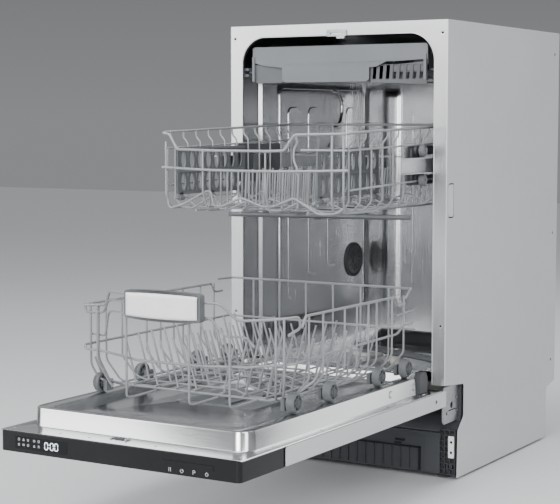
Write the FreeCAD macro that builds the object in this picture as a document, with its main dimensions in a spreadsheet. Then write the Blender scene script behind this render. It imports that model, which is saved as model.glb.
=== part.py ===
import FreeCAD, Part
import os
import Sketcher
from FreeCAD import Placement, Rotation, Vector

# Slimline built-in dishwasher, 448 mm wide, stood on the floor with its door
# lying open, the lower basket drawn out over the door and the upper basket
# partly out.  Millimetres.  X runs across the machine, the front faces -Y,
# Z is up and the floor is Z = 0.  Depths are counted from the front plane of
# the cabinet, which lies at Y = face.

doc = FreeCAD.newDocument("dishwasher")
os.makedirs("parts", exist_ok=True)

# ---------------------------------------------------------------- dimensions
DIMENSIONS = [
    ("face", 61, "front plane of the cabinet"),
    ("half_wide", 224, "half the cabinet width"),
    ("tall", 823, "floor to the top of the cabinet"),
    ("deep", 533, "front plane to the back"),
    ("sheet", 0.8, "outer sheet metal"),
    ("notch_top", 180, "lower front corner cut-out of the side panels"),
    ("notch_back", 81, "depth of the cut-out"),
    ("notch_low", 115, "where the cut-out starts to run forward again"),
    ("base_front", 54, "front edge of the base"),
    ("base_back", 487, "rear edge of the base"),
    ("base_top", 80, "top of the base walls"),
    ("mouth_half", 198.5, "half width of the tub mouth"),
    ("mouth_top", 802, "top of the tub mouth"),
    ("mouth_corner", 50, "corner radius of the tub mouth"),
    ("tub_half", 210, "half the inside width of the tub"),
    ("tub_top", 808, "inside top of the tub"),
    ("tub_corner", 61.5, "inside corner radius of the tub"),
    ("tub_back", 506, "inside face of the tub back wall"),
    ("tub_skin", 0.8, "stainless tub sheet"),
    ("ledge", 202, "rolling height of the lower basket wheels"),
    ("well", 168, "floor of the tub well"),
    ("well_half", 152, "half the width of the well"),
    ("hinge_y", -11, "door hinge line, from the front plane"),
    ("hinge_z", 160, "door hinge line, above the floor"),
    ("pin_rad", 4, "hinge pin radius"),
    ("door_reach", 667, "front plane to the far edge of the open door"),
    ("door_low", 141, "outer face of the open door"),
    ("door_high", 171, "flange of the open door"),
    ("door_half", 222, "half the door width"),
    ("door_tail", 10, "rear edge of the open door"),
    ("fascia_half", 219.8, "half the fascia width"),
    ("fascia_thick", 26, "thickness of the fascia bar"),
    ("fascia_wing", 545, "where the fascia side wings end"),
    ("pan_half", 200, "half width of the raised door pan"),
    ("pan_front", 618, "front edge of the raised pan"),
    ("pan_back", 14, "rear edge of the raised pan"),
    ("wire", 1.7, "basket wire radius"),
    ("rim", 2.2, "basket rim wire radius"),
    ("low_half", 193, "half width of the lower basket at its wires"),
    ("low_front", 473, "front corners of the lower basket"),
    ("low_nose", 528, "middle of the bowed basket front"),
    ("low_back", 57, "rear of the lower basket"),
    ("low_rim", 350, "rim of the lower basket"),
    ("low_hoop", 278, "middle hoop of the lower basket"),
    ("low_floor", 216, "floor wires of the lower basket"),
    ("low_knee", 242, "height where the walls bend inwards"),
    ("low_foot", 163, "half width of the basket floor"),
    ("wheel_rad", 17, "lower basket wheel radius"),
    ("wheel_wide", 13, "lower basket wheel width"),
    ("wheel_x", 185, "wheel track"),
    ("axle_rad", 3.5, "wheel axle radius"),
    ("up_half", 182, "half width of the upper basket at its wires"),
    ("up_front", 283, "front corners of the upper basket"),
    ("up_nose", 304, "middle of the bowed upper front"),
    ("up_back", 150, "rear of the upper basket, behind the front plane"),
    ("up_rim", 626, "rim of the upper basket"),
    ("up_hoop", 568, "middle hoop of the upper basket"),
    ("up_floor", 498, "floor wires of the upper basket"),
    ("roller_rad", 11, "upper basket roller radius"),
    ("roller_high", 595.3, "upper rollers"),
    ("roller_low", 544.7, "lower rollers"),
    ("rail_low", 556.3, "underside of the telescopic rail"),
    ("rail_high", 583.7, "top of the telescopic rail"),
    ("tray_half", 181, "half width of the cutlery tray"),
    ("tray_top", 784, "top of the cutlery tray front"),
    ("tray_low", 718, "lower edge of the cutlery tray front"),
    ("arm_y", 255, "lower spray arm axis, behind the front plane"),
    ("gap", 0.3, "clearance between neighbouring pieces"),
    ("run", 0.06, "radial running clearance"),
]

sheet = doc.addObject("Spreadsheet::Sheet", "Dims")
for row, (alias, value, note) in enumerate(DIMENSIONS, start=1):
    sheet.set("A%d" % row, alias)
    sheet.set("B%d" % row, str(value))
    sheet.set("C%d" % row, note)
    sheet.setAlias("B%d" % row, alias)
doc.recompute()

PARTS = []


# ------------------------------------------------------------------- helpers
def d(words):
    """Turn '=half_wide - sheet' style words into an expression on the sheet."""
    if not isinstance(words, str):
        return repr(words)
    for alias, value, note in sorted(DIMENSIONS, key=lambda item: -len(item[0])):
        words = replace_word(words, alias)
    return words


def replace_word(words, alias):
    out = []
    for token in words.replace("(", " ( ").replace(")", " ) ").split():
        sign = ""
        while token and token[0] in "+-*/" and len(token) > 1:
            sign += token[0]
            token = token[1:]
        out.append(sign + ("Dims." + alias if token == alias else token))
    return " ".join(out)


def num(words):
    """The present value of such words, for directions and counts."""
    value = sheet.evalExpression(d(words))
    return float(getattr(value, "Value", value))


def bind(item, name, words):
    item.setExpression(name, d(words))


def place(item, x, y, z):
    bind(item, "Placement.Base.x", x)
    bind(item, "Placement.Base.y", "face + (%s)" % y)
    bind(item, "Placement.Base.z", z)


def box(x0, x1, y0, y1, z0, z1):
    item = doc.addObject("Part::Box", "block")
    bind(item, "Length", "(%s) - (%s)" % (x1, x0))
    bind(item, "Width", "(%s) - (%s)" % (y1, y0))
    bind(item, "Height", "(%s) - (%s)" % (z1, z0))
    place(item, x0, y0, z0)
    return item


def rod(x, y, z, rad, length, axis="z"):
    """A round bar starting at x, y, z and running along an axis."""
    item = doc.addObject("Part::Cylinder", "rod")
    bind(item, "Radius", rad)
    bind(item, "Height", length)
    turn = {"z": Rotation(), "x": Rotation(Vector(0, 1, 0), 90), "y": Rotation(Vector(1, 0, 0), -90)}
    item.Placement = Placement(Vector(), turn[axis])
    place(item, x, y, z)
    return item


def bar(start, end, rad="wire"):
    """A straight wire between two points given in words."""
    begin = Vector(*[num(value) for value in start])
    finish = Vector(*[num(value) for value in end])
    item = doc.addObject("Part::Cylinder", "wire")
    bind(item, "Radius", rad)
    reach = ["((%s) - (%s))" % (b, a) for a, b in zip(start, end)]
    bind(item, "Height", "(%s) ^ 0.5" % " + ".join("%s ^ 2" % one for one in reach))
    item.Placement = Placement(Vector(), Rotation(Vector(0, 0, 1), finish - begin))
    place(item, *start)
    return item


def fuse(pieces):
    if len(pieces) == 1:
        return pieces[0]
    item = doc.addObject("Part::MultiFuse", "joined")
    item.Shapes = pieces
    item.Refine = True
    return item


def cut(base, tools):
    item = doc.addObject("Part::Cut", "trimmed")
    item.Base = base
    item.Tool = fuse(tools)
    item.Refine = True
    return item


def group(pieces):
    item = doc.addObject("Part::Compound", "set")
    item.Links = pieces
    return item


def node(label, item):
    item.Label = label
    PARTS.append(item)
    return item


def arch(half, top, corner, low, y0, y1):
    """A solid block with two rounded top corners."""
    inner = "(%s) - (%s)" % (half, corner)
    shoulder = "(%s) - (%s)" % (top, corner)
    long = "(%s) - (%s)" % (y1, y0)
    return fuse([
        box("-(%s)" % half, half, y0, y1, low, shoulder),
        box("-(%s)" % inner, inner, y0, y1, shoulder, top),
        rod(inner, y0, shoulder, corner, long, "y"),
        rod("-(%s)" % inner, y0, shoulder, corner, long, "y"),
    ])


def outline_body(label, plane, points, kind, amount, reverse=False):
    """A PartDesign body from a closed outline, padded or turned about V."""
    body = doc.addObject("PartDesign::Body", label)
    sketch = body.newObject("Sketcher::SketchObject", label + "_outline")
    for item in body.Origin.OriginFeatures:
        if item.Role == plane:
            sketch.AttachmentSupport = (item, [""])
    sketch.MapMode = "FlatFace"
    values = [Vector(num(u), num(v), 0) for u, v in points]
    total = len(values)
    for index in range(total):
        line = Part.LineSegment(values[index], values[(index + 1) % total])
        sketch.addGeometry(line, False)
    for index in range(total):
        sketch.addConstraint(Sketcher.Constraint("Coincident", index, 2, (index + 1) % total, 1))
    for index, pair in enumerate(points):
        for kind_name, words, value in zip(("DistanceX", "DistanceY"), pair, values[index]):
            if value < 0:
                number = sketch.addConstraint(Sketcher.Constraint(kind_name, index, 1, -1, 1, -value))
                sketch.setExpression("Constraints[%d]" % number, d("-(%s)" % words))
            else:
                number = sketch.addConstraint(Sketcher.Constraint(kind_name, -1, 1, index, 1, value))
                sketch.setExpression("Constraints[%d]" % number, d(words))
    if kind == "pad":
        feature = body.newObject("PartDesign::Pad", label + "_pad")
        feature.Profile = sketch
        bind(feature, "Length", amount)
        feature.Reversed = reverse
    else:
        feature = body.newObject("PartDesign::Revolution", label + "_turn")
        feature.Profile = sketch
        feature.ReferenceAxis = (sketch, ["V_Axis"])
        feature.Angle = 360
    sketch.Visibility = False
    return body


def lathe(label, points, x, y, z, axis="z"):
    """A turned piece: outline of (radius, height) words, stood on x, y, z."""
    body = outline_body(label, "XZ_Plane", points, "turn", 360)
    turn = {"z": Rotation(), "x": Rotation(Vector(0, 1, 0), 90), "y": Rotation(Vector(1, 0, 0), -90)}
    body.Placement = Placement(Vector(), turn[axis])
    place(body, x, y, z)
    return body


def spread(first, last, count):
    """Evenly spaced words from first to last."""
    step = "((%s) - (%s)) / %d" % (last, first, count - 1)
    return ["(%s) + %s * %d" % (first, step, index) for index in range(count)]


SIDES = (("left", "-1"), ("right", "1"))

# ------------------------------------------------------------ cabinet shell
# side panels with the lower front corner cut away, as seen from the side
panel_outline = [
    ("0", "tall"), ("deep", "tall"), ("deep", "notch_low + 1"), ("base_back", "notch_low - 11"),
    ("base_back", "4"), ("base_front", "4"), ("base_front + 2", "90"),
    ("notch_back", "notch_low"), ("notch_back", "notch_top - 7"), ("0", "notch_top"),
]
panels = []
for side, x in (("left", "-half_wide"), ("right", "half_wide - sheet")):
    body = outline_body("panel_" + side, "YZ_Plane", panel_outline, "pad", "sheet")
    place(body, x, "0", "0")
    panels.append(body)
node("side_panels", group(panels))

frame_block = box("-half_wide + sheet + 0.1", "half_wide - sheet - 0.1", "0", "1", "notch_top", "tall")
frame_mouth = arch("mouth_half", "mouth_top", "mouth_corner", "notch_top - 5", "-1", "2")
screw_holes = [
    rod("%s * 214" % sign, "-1", height, "2", "3", "y")
    for side, sign in SIDES for height in ("800", "286")
]
node("front_frame", cut(frame_block, [frame_mouth] + screw_holes))

back_holes = [
    rod("-165", "deep - 20", "notch_low + 28", "15", "40", "y"),
    rod("150", "deep - 20", "notch_low + 28", "12", "40", "y"),
    rod("60", "deep - 20", "notch_low + 28", "11", "40", "y"),
]
back_sheet = box("-half_wide + sheet + 0.1", "half_wide - sheet - 0.1", "deep - sheet", "deep",
                 "notch_low + 3", "tall")
top_sheet = box("-half_wide + sheet + 0.1", "half_wide - sheet - 0.1", "1.2", "deep - sheet / 2",
                "tall - sheet", "tall")
node("back_and_top_cover", cut(fuse([back_sheet, top_sheet]), back_holes))

# ----------------------------------------------------------------- the tub
tub_outside = arch("tub_half + tub_skin", "tub_top + tub_skin", "tub_corner + tub_skin",
                   "ledge - 22", "1.2", "tub_back")
tub_inside = arch("tub_half", "tub_top", "tub_corner", "ledge - 30", "0", "tub_back + 1")
node("tub_wrap", cut(tub_outside, [tub_inside]))
node("tub_back_wall", arch("tub_half + tub_skin", "tub_top + tub_skin", "tub_corner + tub_skin",
                           "ledge - 30", "tub_back + 0.1", "tub_back + 0.1 + tub_skin"))

# tub floor: two ledges that the wheels roll on, and a well between them
pan_points = [
    ("-tub_half + 0.2", "ledge - 0.3"), ("-well_half - 14", "ledge - 0.3"), ("-well_half", "well"),
    ("well_half", "well"), ("well_half + 14", "ledge - 0.3"), ("tub_half - 0.2", "ledge - 0.3"),
    ("tub_half - 0.2", "ledge - 1.5"), ("well_half + 15", "ledge - 1.5"), ("well_half + 1", "well - 1.2"),
    ("-well_half - 1", "well - 1.2"), ("-well_half - 15", "ledge - 1.5"),
    ("-tub_half + 0.2", "ledge - 1.5"),
]
floor_pan = outline_body("floor_pan", "XZ_Plane", pan_points, "pad", "tub_back - 15", True)
place(floor_pan, "0", "14.5", "0")
node("tub_floor", cut(floor_pan, [
    rod("70", "330", "well - 5", "46", "10"),
    rod("0", "arm_y", "well - 5", "15", "10"),
    rod("-105", "330", "well - 5", "26", "10"),
]))

seal_outside = arch("tub_half - 0.3", "tub_top - 0.3", "tub_corner - 0.3", "ledge + 1", "1.4", "12")
seal_inside = arch("mouth_half + 1.5", "mouth_top + 1", "mouth_corner + 1.5", "ledge", "0", "14")
node("door_seal", cut(seal_outside, [seal_inside]))

striker = box("-17", "24", "-3", "-0.1", "mouth_top - 2.5", "mouth_top + 10")
node("striker_plate", cut(striker, [box("-9", "16", "-4", "1", "mouth_top - 0.5", "mouth_top + 4")]))

# --------------------------------------------------------------- the base
base_shell = box("-half_wide + 4", "half_wide - 4", "base_front + 6", "base_back - 3", "8", "base_top")
base_hollow = box("-half_wide + 7", "half_wide - 7", "base_front + 9", "base_back - 6",
                  "11", "base_top + 1")
node("base_tray", cut(base_shell, [base_hollow]))

ribs = [box(x, "(%s) + 4" % x, "base_front - 4", "base_front + 2", "14", "base_top - 4")
        for x in spread("-180", "176", 17)]
towers = []
for x0, x1 in (("-half_wide + 4", "-189"), ("189", "half_wide - 4")):
    tower = box(x0, x1, "base_front - 4", "base_front + 5.7", "8", "base_top + 12")
    towers.append(cut(tower, [box("(%s) + 6" % x0, "(%s) - 6" % x1, "base_front - 5", "base_front + 2",
                                  z, "(%s) + 9" % z) for z in spread("18", "72", 4)]))
plinth = box("-190", "190", "base_front + 1", "base_front + 5.7", "8", "base_top + 2")
node("plinth_front", fuse([plinth] + ribs + towers))

foot_outline = [("0", "0"), ("17", "0"), ("17", "4"), ("12", "7.7"), ("0", "7.7")]
feet = []
for index, (x, y) in enumerate((("-190", "base_front + 26"), ("190", "base_front + 26"),
                                ("-190", "base_back - 30"), ("190", "base_back - 30"))):
    feet.append(lathe("foot_%d" % index, foot_outline, x, y, "0"))
node("levelling_feet", group(feet))

# sump cup under the tub floor, with the pipe and pin of the lower arm
sump_outline = [("0", "0"), ("86", "0"), ("94", "56"), ("94", "58"), ("87", "58"), ("80", "4"),
                ("0", "4")]
node("sump", fuse([
    lathe("sump_cup", sump_outline, "50", "300", "well - 60"),
    rod("0", "arm_y", "well - 58", "13", "74"),
    rod("0", "arm_y", "well + 15", "4", "14"),
]))
node("circulation_pump", fuse([
    rod("-78", "165", "58", "34", "96", "x"),
    rod("18", "165", "58", "42", "34", "x"),
]))
node("drain_pump", fuse([
    rod("120", "180", "46", "24", "62", "x"),
    box("120", "140", "180", "215", "40", "64"),
]))
softener = box("-206", "-72", "200", "400", "14", "90")
node("water_softener", fuse([softener, rod("-105", "330", "89", "24", "well - 4.5 - 89")]))
node("ballast", box("-205", "205", "405", "475", "12", "72"))
node("air_break_chamber", box("-half_wide + sheet + 1", "-tub_half - tub_skin - 1", "120", "400",
                              "300", "700"))

# water inlet, drain spigot and cable gland on the back
node("rear_connections", group([
    fuse([box("-190", "-140", "base_back + 2", "deep - 4", "notch_low + 8", "notch_low + 48"),
          rod("-165", "deep - 5", "notch_low + 28", "13", "17", "y")]),
    fuse([rod("150", "deep - 18", "notch_low + 28", "10", "30", "y"),
          rod("150", "deep - 22", "notch_low + 28", "16", "6", "y")]),
    fuse([rod("60", "deep - 10", "notch_low + 28", "9", "18", "y"),
          rod("60", "deep - 8", "notch_low + 28", "14", "6", "y")]),
]))

# hinge springs beside the base, and the brackets that carry the door pins
springs = []
brackets = []
spring_outline = [("7", "0"), ("9", "0"), ("9", "110"), ("7", "110")]
for side, sign in SIDES:
    springs.append(lathe("spring_" + side, spring_outline, "%s * 206" % sign,
                         "base_front + 60", "base_top + 22", "y"))
    x0, x1 = "%s * 213.5 - 1" % sign, "%s * 213.5 + 1" % sign
    plate = fuse([box(x0, x1, "-24", "13", "hinge_z - 14", "hinge_z + 6"),
                  box(x0, x1, "12", "notch_back + 30", "notch_low - 8", "hinge_z + 14")])
    pin_x = "210" if side == "right" else "-219.3"
    pin = rod(pin_x, "hinge_y", "hinge_z", "pin_rad", "9.3", "x")
    holes = [rod("%s * 213.5 - 2" % sign, y, z, "3", "4", "x")
             for y, z in (("30", "notch_low + 10"), ("70", "notch_low + 10"), ("70", "hinge_z - 10"))]
    brackets.append(cut(fuse([plate, pin]), holes))
node("hinge_springs", group(springs))
node("hinge_brackets", group(brackets))

# ------------------------------------------------------------------ rails
def outward(side, near, far):
    """A span across X on one side, counted outwards from the middle."""
    return (near, far) if side == "right" else ("-(%s)" % far, "-(%s)" % near)


fixed_rails = []
sliding_rails = []
for side, sign in SIDES:
    # short carriers on the tub wall hold the telescopic rail
    x0, x1 = outward(side, "189", "tub_half - 0.2")
    for y in ("16", "112"):
        fixed_rails.append(box(x0, x1, y, "(%s) + 40" % y, "rail_low + 3", "rail_high - 3"))
    # the sliding member is a channel, open towards the wall
    web0, web1 = outward(side, "186.4", "187.8")
    out0, out1 = outward(side, "186.4", "196.4")
    sliding_rails.append(fuse([
        box(web0, web1, "-104", "310", "rail_low", "rail_high"),
        box(out0, out1, "-104", "310", "rail_low", "rail_low + 1.4"),
        box(out0, out1, "-104", "310", "rail_high - 1.4", "rail_high"),
    ]))
    # grooved guide for the skids of the cutlery tray
    guide0, guide1 = outward(side, "195", "tub_half - 0.2")
    slot0, slot1 = outward(side, "194", "205")
    fixed_rails.append(cut(box(guide0, guide1, "16", "470", "tray_low + 12", "tray_low + 28"),
                           [box(slot0, slot1, "10", "480", "tray_low + 17", "tray_low + 23")]))
node("tub_rails", group(fixed_rails))
node("telescopic_rails", group(sliding_rails))

# ------------------------------------------------------------------ door
# outer sheet, folded up along both sides
outer = box("-door_half", "door_half", "-fascia_wing + 0.3", "door_tail", "door_low", "door_high - 0.3")
outer_hollow = box("-door_half + sheet", "door_half - sheet", "-fascia_wing - 5", "door_tail + 5",
                   "door_low + sheet", "door_high + 5")
fit_holes = [rod("%s * 150" % sign, y, "door_low - 2", "2.5", "6")
             for side, sign in SIDES for y in ("-480", "-120")]
node("door_outer_panel", cut(outer, [outer_hollow] + fit_holes))

# inner pan: a flange, a raised rim that the basket wheels roll on, and a recess
pan_solid = fuse([
    box("-door_half + 0.5", "door_half - 0.5", "-door_reach + fascia_thick + 0.3", "-6",
        "door_high", "door_high + 1"),
    box("-pan_half", "pan_half", "-pan_front", "-pan_back", "door_high", "ledge - 0.3"),
])
pan_under = box("-pan_half + 1", "pan_half - 1", "-pan_front + 1", "-pan_back - 1",
                "door_high - 1", "ledge - 1.3")
pan_shell = cut(pan_solid, [pan_under])
recess = box("-162", "162", "-pan_front + 18", "-40", "180", "ledge + 5")
recess_skin = box("-163", "163", "-pan_front + 17", "-39", "179", "ledge - 0.5")
latch_cut = box("-32", "4", "-door_reach + 28", "-door_reach + 40", "door_high - 2", "door_high + 3")
dispenser_cut = box("-76", "76", "-400", "-250", "170", "190")
node("door_inner_pan", cut(fuse([pan_shell, recess_skin]), [recess, latch_cut, dispenser_cut]))

# control fascia: a hollow bar across the front edge, with two side wings
fascia_bar = box("-fascia_half", "fascia_half", "-door_reach", "-door_reach + fascia_thick",
                 "door_low", "door_high + 1")
wings = [box("-fascia_half", "-fascia_half + 2.5", "-door_reach + fascia_thick - 1", "-fascia_wing",
             "door_low", "door_high - 0.3"),
         box("fascia_half - 2.5", "fascia_half", "-door_reach + fascia_thick - 1", "-fascia_wing",
             "door_low", "door_high - 0.3"),
         box("-fascia_half", "fascia_half", "-door_reach + fascia_thick - 1", "-fascia_wing",
             "door_low", "door_low + 2")]
window_cut = box("-190", "-90", "-door_reach - 1", "-door_reach + 2", "148", "165")
fascia_back = box("-fascia_half + 3", "fascia_half - 3", "-door_reach + 4",
                  "-door_reach + fascia_thick + 2", "door_low + 3", "door_high - 2")
node("control_fascia", cut(fuse([fascia_bar] + wings), [window_cut, fascia_back]))
node("display_window", box("-189.7", "-90.3", "-door_reach + 0.2", "-door_reach + 1.8", "148.3", "164.7"))
node("control_board", box("-200", "200", "-door_reach + 6", "-door_reach + 22", "146", "150"))
node("door_latch", box("-30", "2", "-door_reach + 29", "-door_reach + 39",
                       "door_low + 4", "door_high + 2.5"))

# detergent dispenser: an open cup under a sliding lid, and the rinse-aid cap
dispenser = box("-75.5", "75.5", "-399.5", "-250.5", "door_low + 15", "188")
cup_hollow = box("-60", "10", "-380", "-310", "170", "187.4")
lid_bed = box("-66", "67", "-386", "-304", "186.2", "189")
cap_seat = rod("40", "-278", "180", "20.5", "20")
node("detergent_dispenser", cut(dispenser, [cup_hollow, lid_bed, cap_seat]))
node("dispenser_lid", fuse([box("-65", "15", "-385.5", "-304.5", "186.5", "189.5"),
                            box("-40", "-10", "-352", "-338", "189.5", "194")]))
rinse_outline = [("0", "0"), ("20", "0"), ("20", "6"), ("15", "9"), ("0", "9")]
node("rinse_aid_cap", fuse([lathe("rinse_cap_disc", rinse_outline, "40", "-278", "180.4"),
                            box("36", "44", "-292", "-264", "188", "194")]))
node("door_bottom_seal", box("-198", "198", "-13.5", "-7", "door_high + 1.2", "ledge - 3"))
arms = []
for side, sign in SIDES:
    arm = box("%s * 217.3 - 1" % sign, "%s * 217.3 + 1" % sign, "-150", "hinge_y + 9",
              "hinge_z - 12", "hinge_z + 9")
    bore = rod("%s * 217.3 - 3" % sign, "hinge_y", "hinge_z", "pin_rad + run", "6", "x")
    arms.append(cut(arm, [bore]))
node("hinge_arms", group(arms))


# ---------------------------------------------------------- lower basket
def low_front_points(z):
    """The bowed front of the lower basket, as four corner points at a height."""
    return [
        ("-low_half", "-low_front", z), ("-110", "-low_nose", z),
        ("110", "-low_nose", z), ("low_half", "-low_front", z),
    ]


def wall(points_low, points_high, count, rad="wire"):
    """Upright wires between two level runs of points."""
    out = []
    for (low_a, low_b), (high_a, high_b) in zip(zip(points_low, points_low[1:]),
                                                zip(points_high, points_high[1:])):
        for step in range(1, count):
            share = "%d / %d" % (step, count)
            low = tuple("(%s) + ((%s) - (%s)) * %s" % (a, b, a, share) for a, b in zip(low_a, low_b))
            high = tuple("(%s) + ((%s) - (%s)) * %s" % (a, b, a, share) for a, b in zip(high_a, high_b))
            out.append(bar(low, high, rad))
    return out


def front_panels(points_at, rails, low, high):
    """The three flat wire panels of a bowed basket front."""
    panels = []
    for index in range(3):
        wires = []
        for z, rad in rails:
            a, b = points_at(z)[index:index + 2]
            start = tuple("(%s) + ((%s) - (%s)) * 0.03" % (one, two, one) for one, two in zip(a, b))
            end = tuple("(%s) + ((%s) - (%s)) * 0.97" % (one, two, one) for one, two in zip(a, b))
            wires.append(bar(start, end, rad))
        wires += wall(points_at(low)[index:index + 2], points_at(high)[index:index + 2], 4)
        panels.append(fuse(wires))
    return panels


# side walls, front and rear are flat welded panels
basket = []
for side, sign in SIDES:
    x = "%s * low_half" % sign
    uprights = [bar((x, y, "low_knee + 1"), (x, y, "low_rim + 1")) for y in
                spread("-low_front + 14", "-low_back - 14", 10)]
    rails = [bar((x, "-low_front + 5", z), (x, "-low_back - 5", z), rad)
             for z, rad in (("low_rim", "rim"), ("low_hoop", "wire"))]
    basket.append(fuse(uprights + rails))

basket += front_panels(low_front_points, (("low_rim", "rim"), ("low_hoop", "wire")),
                       "low_floor + 6", "low_rim + 1")

rear_y = "-low_back"
rear_wires = [bar(("-low_half + 1", rear_y, z), ("low_half - 1", rear_y, z), rad)
              for z, rad in (("low_rim", "rim"), ("low_hoop", "wire"))]
rear_wires += [bar((x, rear_y, "low_floor + 6"), (x, rear_y, "low_rim + 1"))
               for x in spread("-low_foot + 10", "low_foot - 10", 8)]
basket.append(fuse(rear_wires))

# level floor grid
CROSS_STATIONS = ("-482", "-430", "-386", "-316", "-275", "-235", "-206", "-150", "-106")
floor_wires = [bar(("-low_foot", y, "low_floor"), ("low_foot", y, "low_floor")) for y in CROSS_STATIONS]
for x in ("-low_foot + 4", "-80", "0", "80", "low_foot - 4"):
    floor_wires.append(bar((x, "-low_front - 20", "low_floor - 2.6"),
                           (x, "-low_back - 2", "low_floor - 2.6")))
basket.append(fuse(floor_wires))

# sloping wires between the floor and each side wall, tied by a rail at the knee
for side, sign in SIDES:
    knee_x = "%s * (low_half - 2.5)" % sign
    slope = [bar((knee_x, "-484", "low_knee - 3"), (knee_x, "-104", "low_knee - 3"))]
    slope += [bar((knee_x, y, "low_knee - 3"), ("%s * (low_foot + 4)" % sign, y, "low_floor + 3"))
              for y in CROSS_STATIONS]
    basket.append(fuse(slope))

# rows of plate tines, leaning forward
for x in ("-122", "-41", "41", "122"):
    row = [bar((x, "-low_front + 10", "low_floor + 3.8"), (x, "-low_back - 30", "low_floor + 3.8"))]
    row += [bar((x, y, "low_floor + 4"), (x, "(%s) - 12" % y, "low_floor + 82"))
            for y in spread("-low_front + 20", "-low_back - 40", 10)]
    basket.append(fuse(row))
node("lower_basket", group(basket))

# grip on the middle of the basket front: a white plate in a grey frame
handle_frame = box("-70", "70", "-low_nose - 16", "-low_nose - 4", "344", "386")
handle_bed = box("-64", "64", "-low_nose - 20", "-low_nose - 12", "348", "382")
node("handle_frame", cut(handle_frame, [handle_bed]))
node("handle_plate", box("-63.7", "63.7", "-low_nose - 19", "-low_nose - 12.3", "348.3", "381.7"))

# wheels turn on stub axles of small holders beside the basket floor
WHEEL_STATIONS = ("-458", "-345", "-178", "-78")
holders = []
for side, sign in SIDES:
    for y in WHEEL_STATIONS:
        if side == "right":
            plate = box("low_foot + 3", "low_foot + 10", "(%s) - 9" % y, "(%s) + 9" % y,
                        "wheel_rad + ledge - 12", "wheel_rad + ledge + 6")
            stub = rod("low_foot + 9", y, "ledge + wheel_rad + 0.3", "axle_rad", "21", "x")
        else:
            plate = box("-low_foot - 10", "-low_foot - 3", "(%s) - 9" % y, "(%s) + 9" % y,
                        "wheel_rad + ledge - 12", "wheel_rad + ledge + 6")
            stub = rod("-low_foot - 30", y, "ledge + wheel_rad + 0.3", "axle_rad", "21", "x")
        holders.append(fuse([plate, stub]))
node("wheel_holders", group(holders))

wheel_outline = [
    ("axle_rad + run", "0"), ("8", "0"), ("8", "4"), ("13", "4"), ("13", "0"), ("wheel_rad", "0"),
    ("wheel_rad", "wheel_wide"), ("13", "wheel_wide"), ("13", "wheel_wide - 4"), ("8", "wheel_wide - 4"),
    ("8", "wheel_wide"), ("axle_rad + run", "wheel_wide"),
]
for side, sign in SIDES:
    for index, y in enumerate(WHEEL_STATIONS, start=1):
        label = "lower_wheel_%s_%d" % (side, index)
        x = "wheel_x - wheel_wide / 2" if side == "right" else "-wheel_x - wheel_wide / 2"
        node(label, lathe(label, wheel_outline, x, y, "ledge + wheel_rad + 0.3", "x"))


# ---------------------------------------------------------- upper basket
def up_front_points(z):
    """The bowed front of the upper basket, as four corner points at a height."""
    return [
        ("-up_half", "-up_front", z), ("-95", "-up_nose", z),
        ("95", "-up_nose", z), ("up_half", "-up_front", z),
    ]


basket = []
for side, sign in SIDES:
    x = "%s * (up_half)" % sign
    uprights = [bar((x, y, "up_floor + 6"), (x, y, "up_rim + 1")) for y in
                spread("-up_front + 14", "up_back - 14", 10)]
    rails = [bar((x, "-up_front + 5", z), (x, "up_back - 5", z), rad)
             for z, rad in (("up_rim", "rim"), ("up_hoop", "wire"), ("up_hoop - 46", "wire"))]
    basket.append(fuse(uprights + rails))

basket += front_panels(up_front_points, (("up_rim", "rim"), ("up_hoop", "wire")),
                       "up_floor + 6", "up_rim + 1")

rear_wires = [bar(("-up_half + 1", "up_back", z), ("up_half - 1", "up_back", z), rad)
              for z, rad in (("up_rim", "rim"), ("up_hoop", "wire"))]
rear_wires += [bar((x, "up_back", "up_floor + 6"), (x, "up_back", "up_rim + 1"))
               for x in spread("-up_half + 20", "up_half - 20", 8)]
basket.append(fuse(rear_wires))

floor_wires = [bar(("-up_half + 1", y, "up_floor"), ("up_half - 1", y, "up_floor"))
               for y in spread("-up_front - 8", "up_back - 5", 12)]
for x in ("-150", "-75", "0", "75", "150"):
    floor_wires.append(bar((x, "-up_front - 14", "up_floor - 2.6"), (x, "up_back - 2", "up_floor - 2.6")))
basket.append(fuse(floor_wires))

for x in ("-60", "0", "60"):
    row = [bar((x, "-up_front + 10", "up_floor + 3.8"), (x, "up_back - 20", "up_floor + 3.8"))]
    row += [bar((x, y, "up_floor + 4"), (x, "(%s) - 8" % y, "up_floor + 62"))
            for y in spread("-up_front + 20", "up_back - 30", 11)]
    basket.append(fuse(row))

# folding cup shelves with two rows of windows, and the wire each one hinges on
shelf_long = 218
for side, x in (("left", "-171.5"), ("right", "107")):
    plate = box(x, "(%s) + 6" % x, "-up_front + 24", "-up_front + 24 + %d" % shelf_long,
                "up_floor + 22", "up_floor + 104")
    windows = [box("(%s) - 1" % x, "(%s) + 7" % x, y, "(%s) + 16" % y, z, "(%s) + 28" % z)
               for y in spread("-up_front + 31", "-up_front + 217", 8)
               for z in ("up_floor + 34", "up_floor + 68")]
    node("cup_shelf_" + side, cut(plate, windows))
    basket.append(bar(("(%s) + 3" % x, "-up_front + 16", "up_floor + 16"),
                      ("(%s) + 3" % x, "-up_front + 250", "up_floor + 16")))
node("upper_basket", group(basket))

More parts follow.
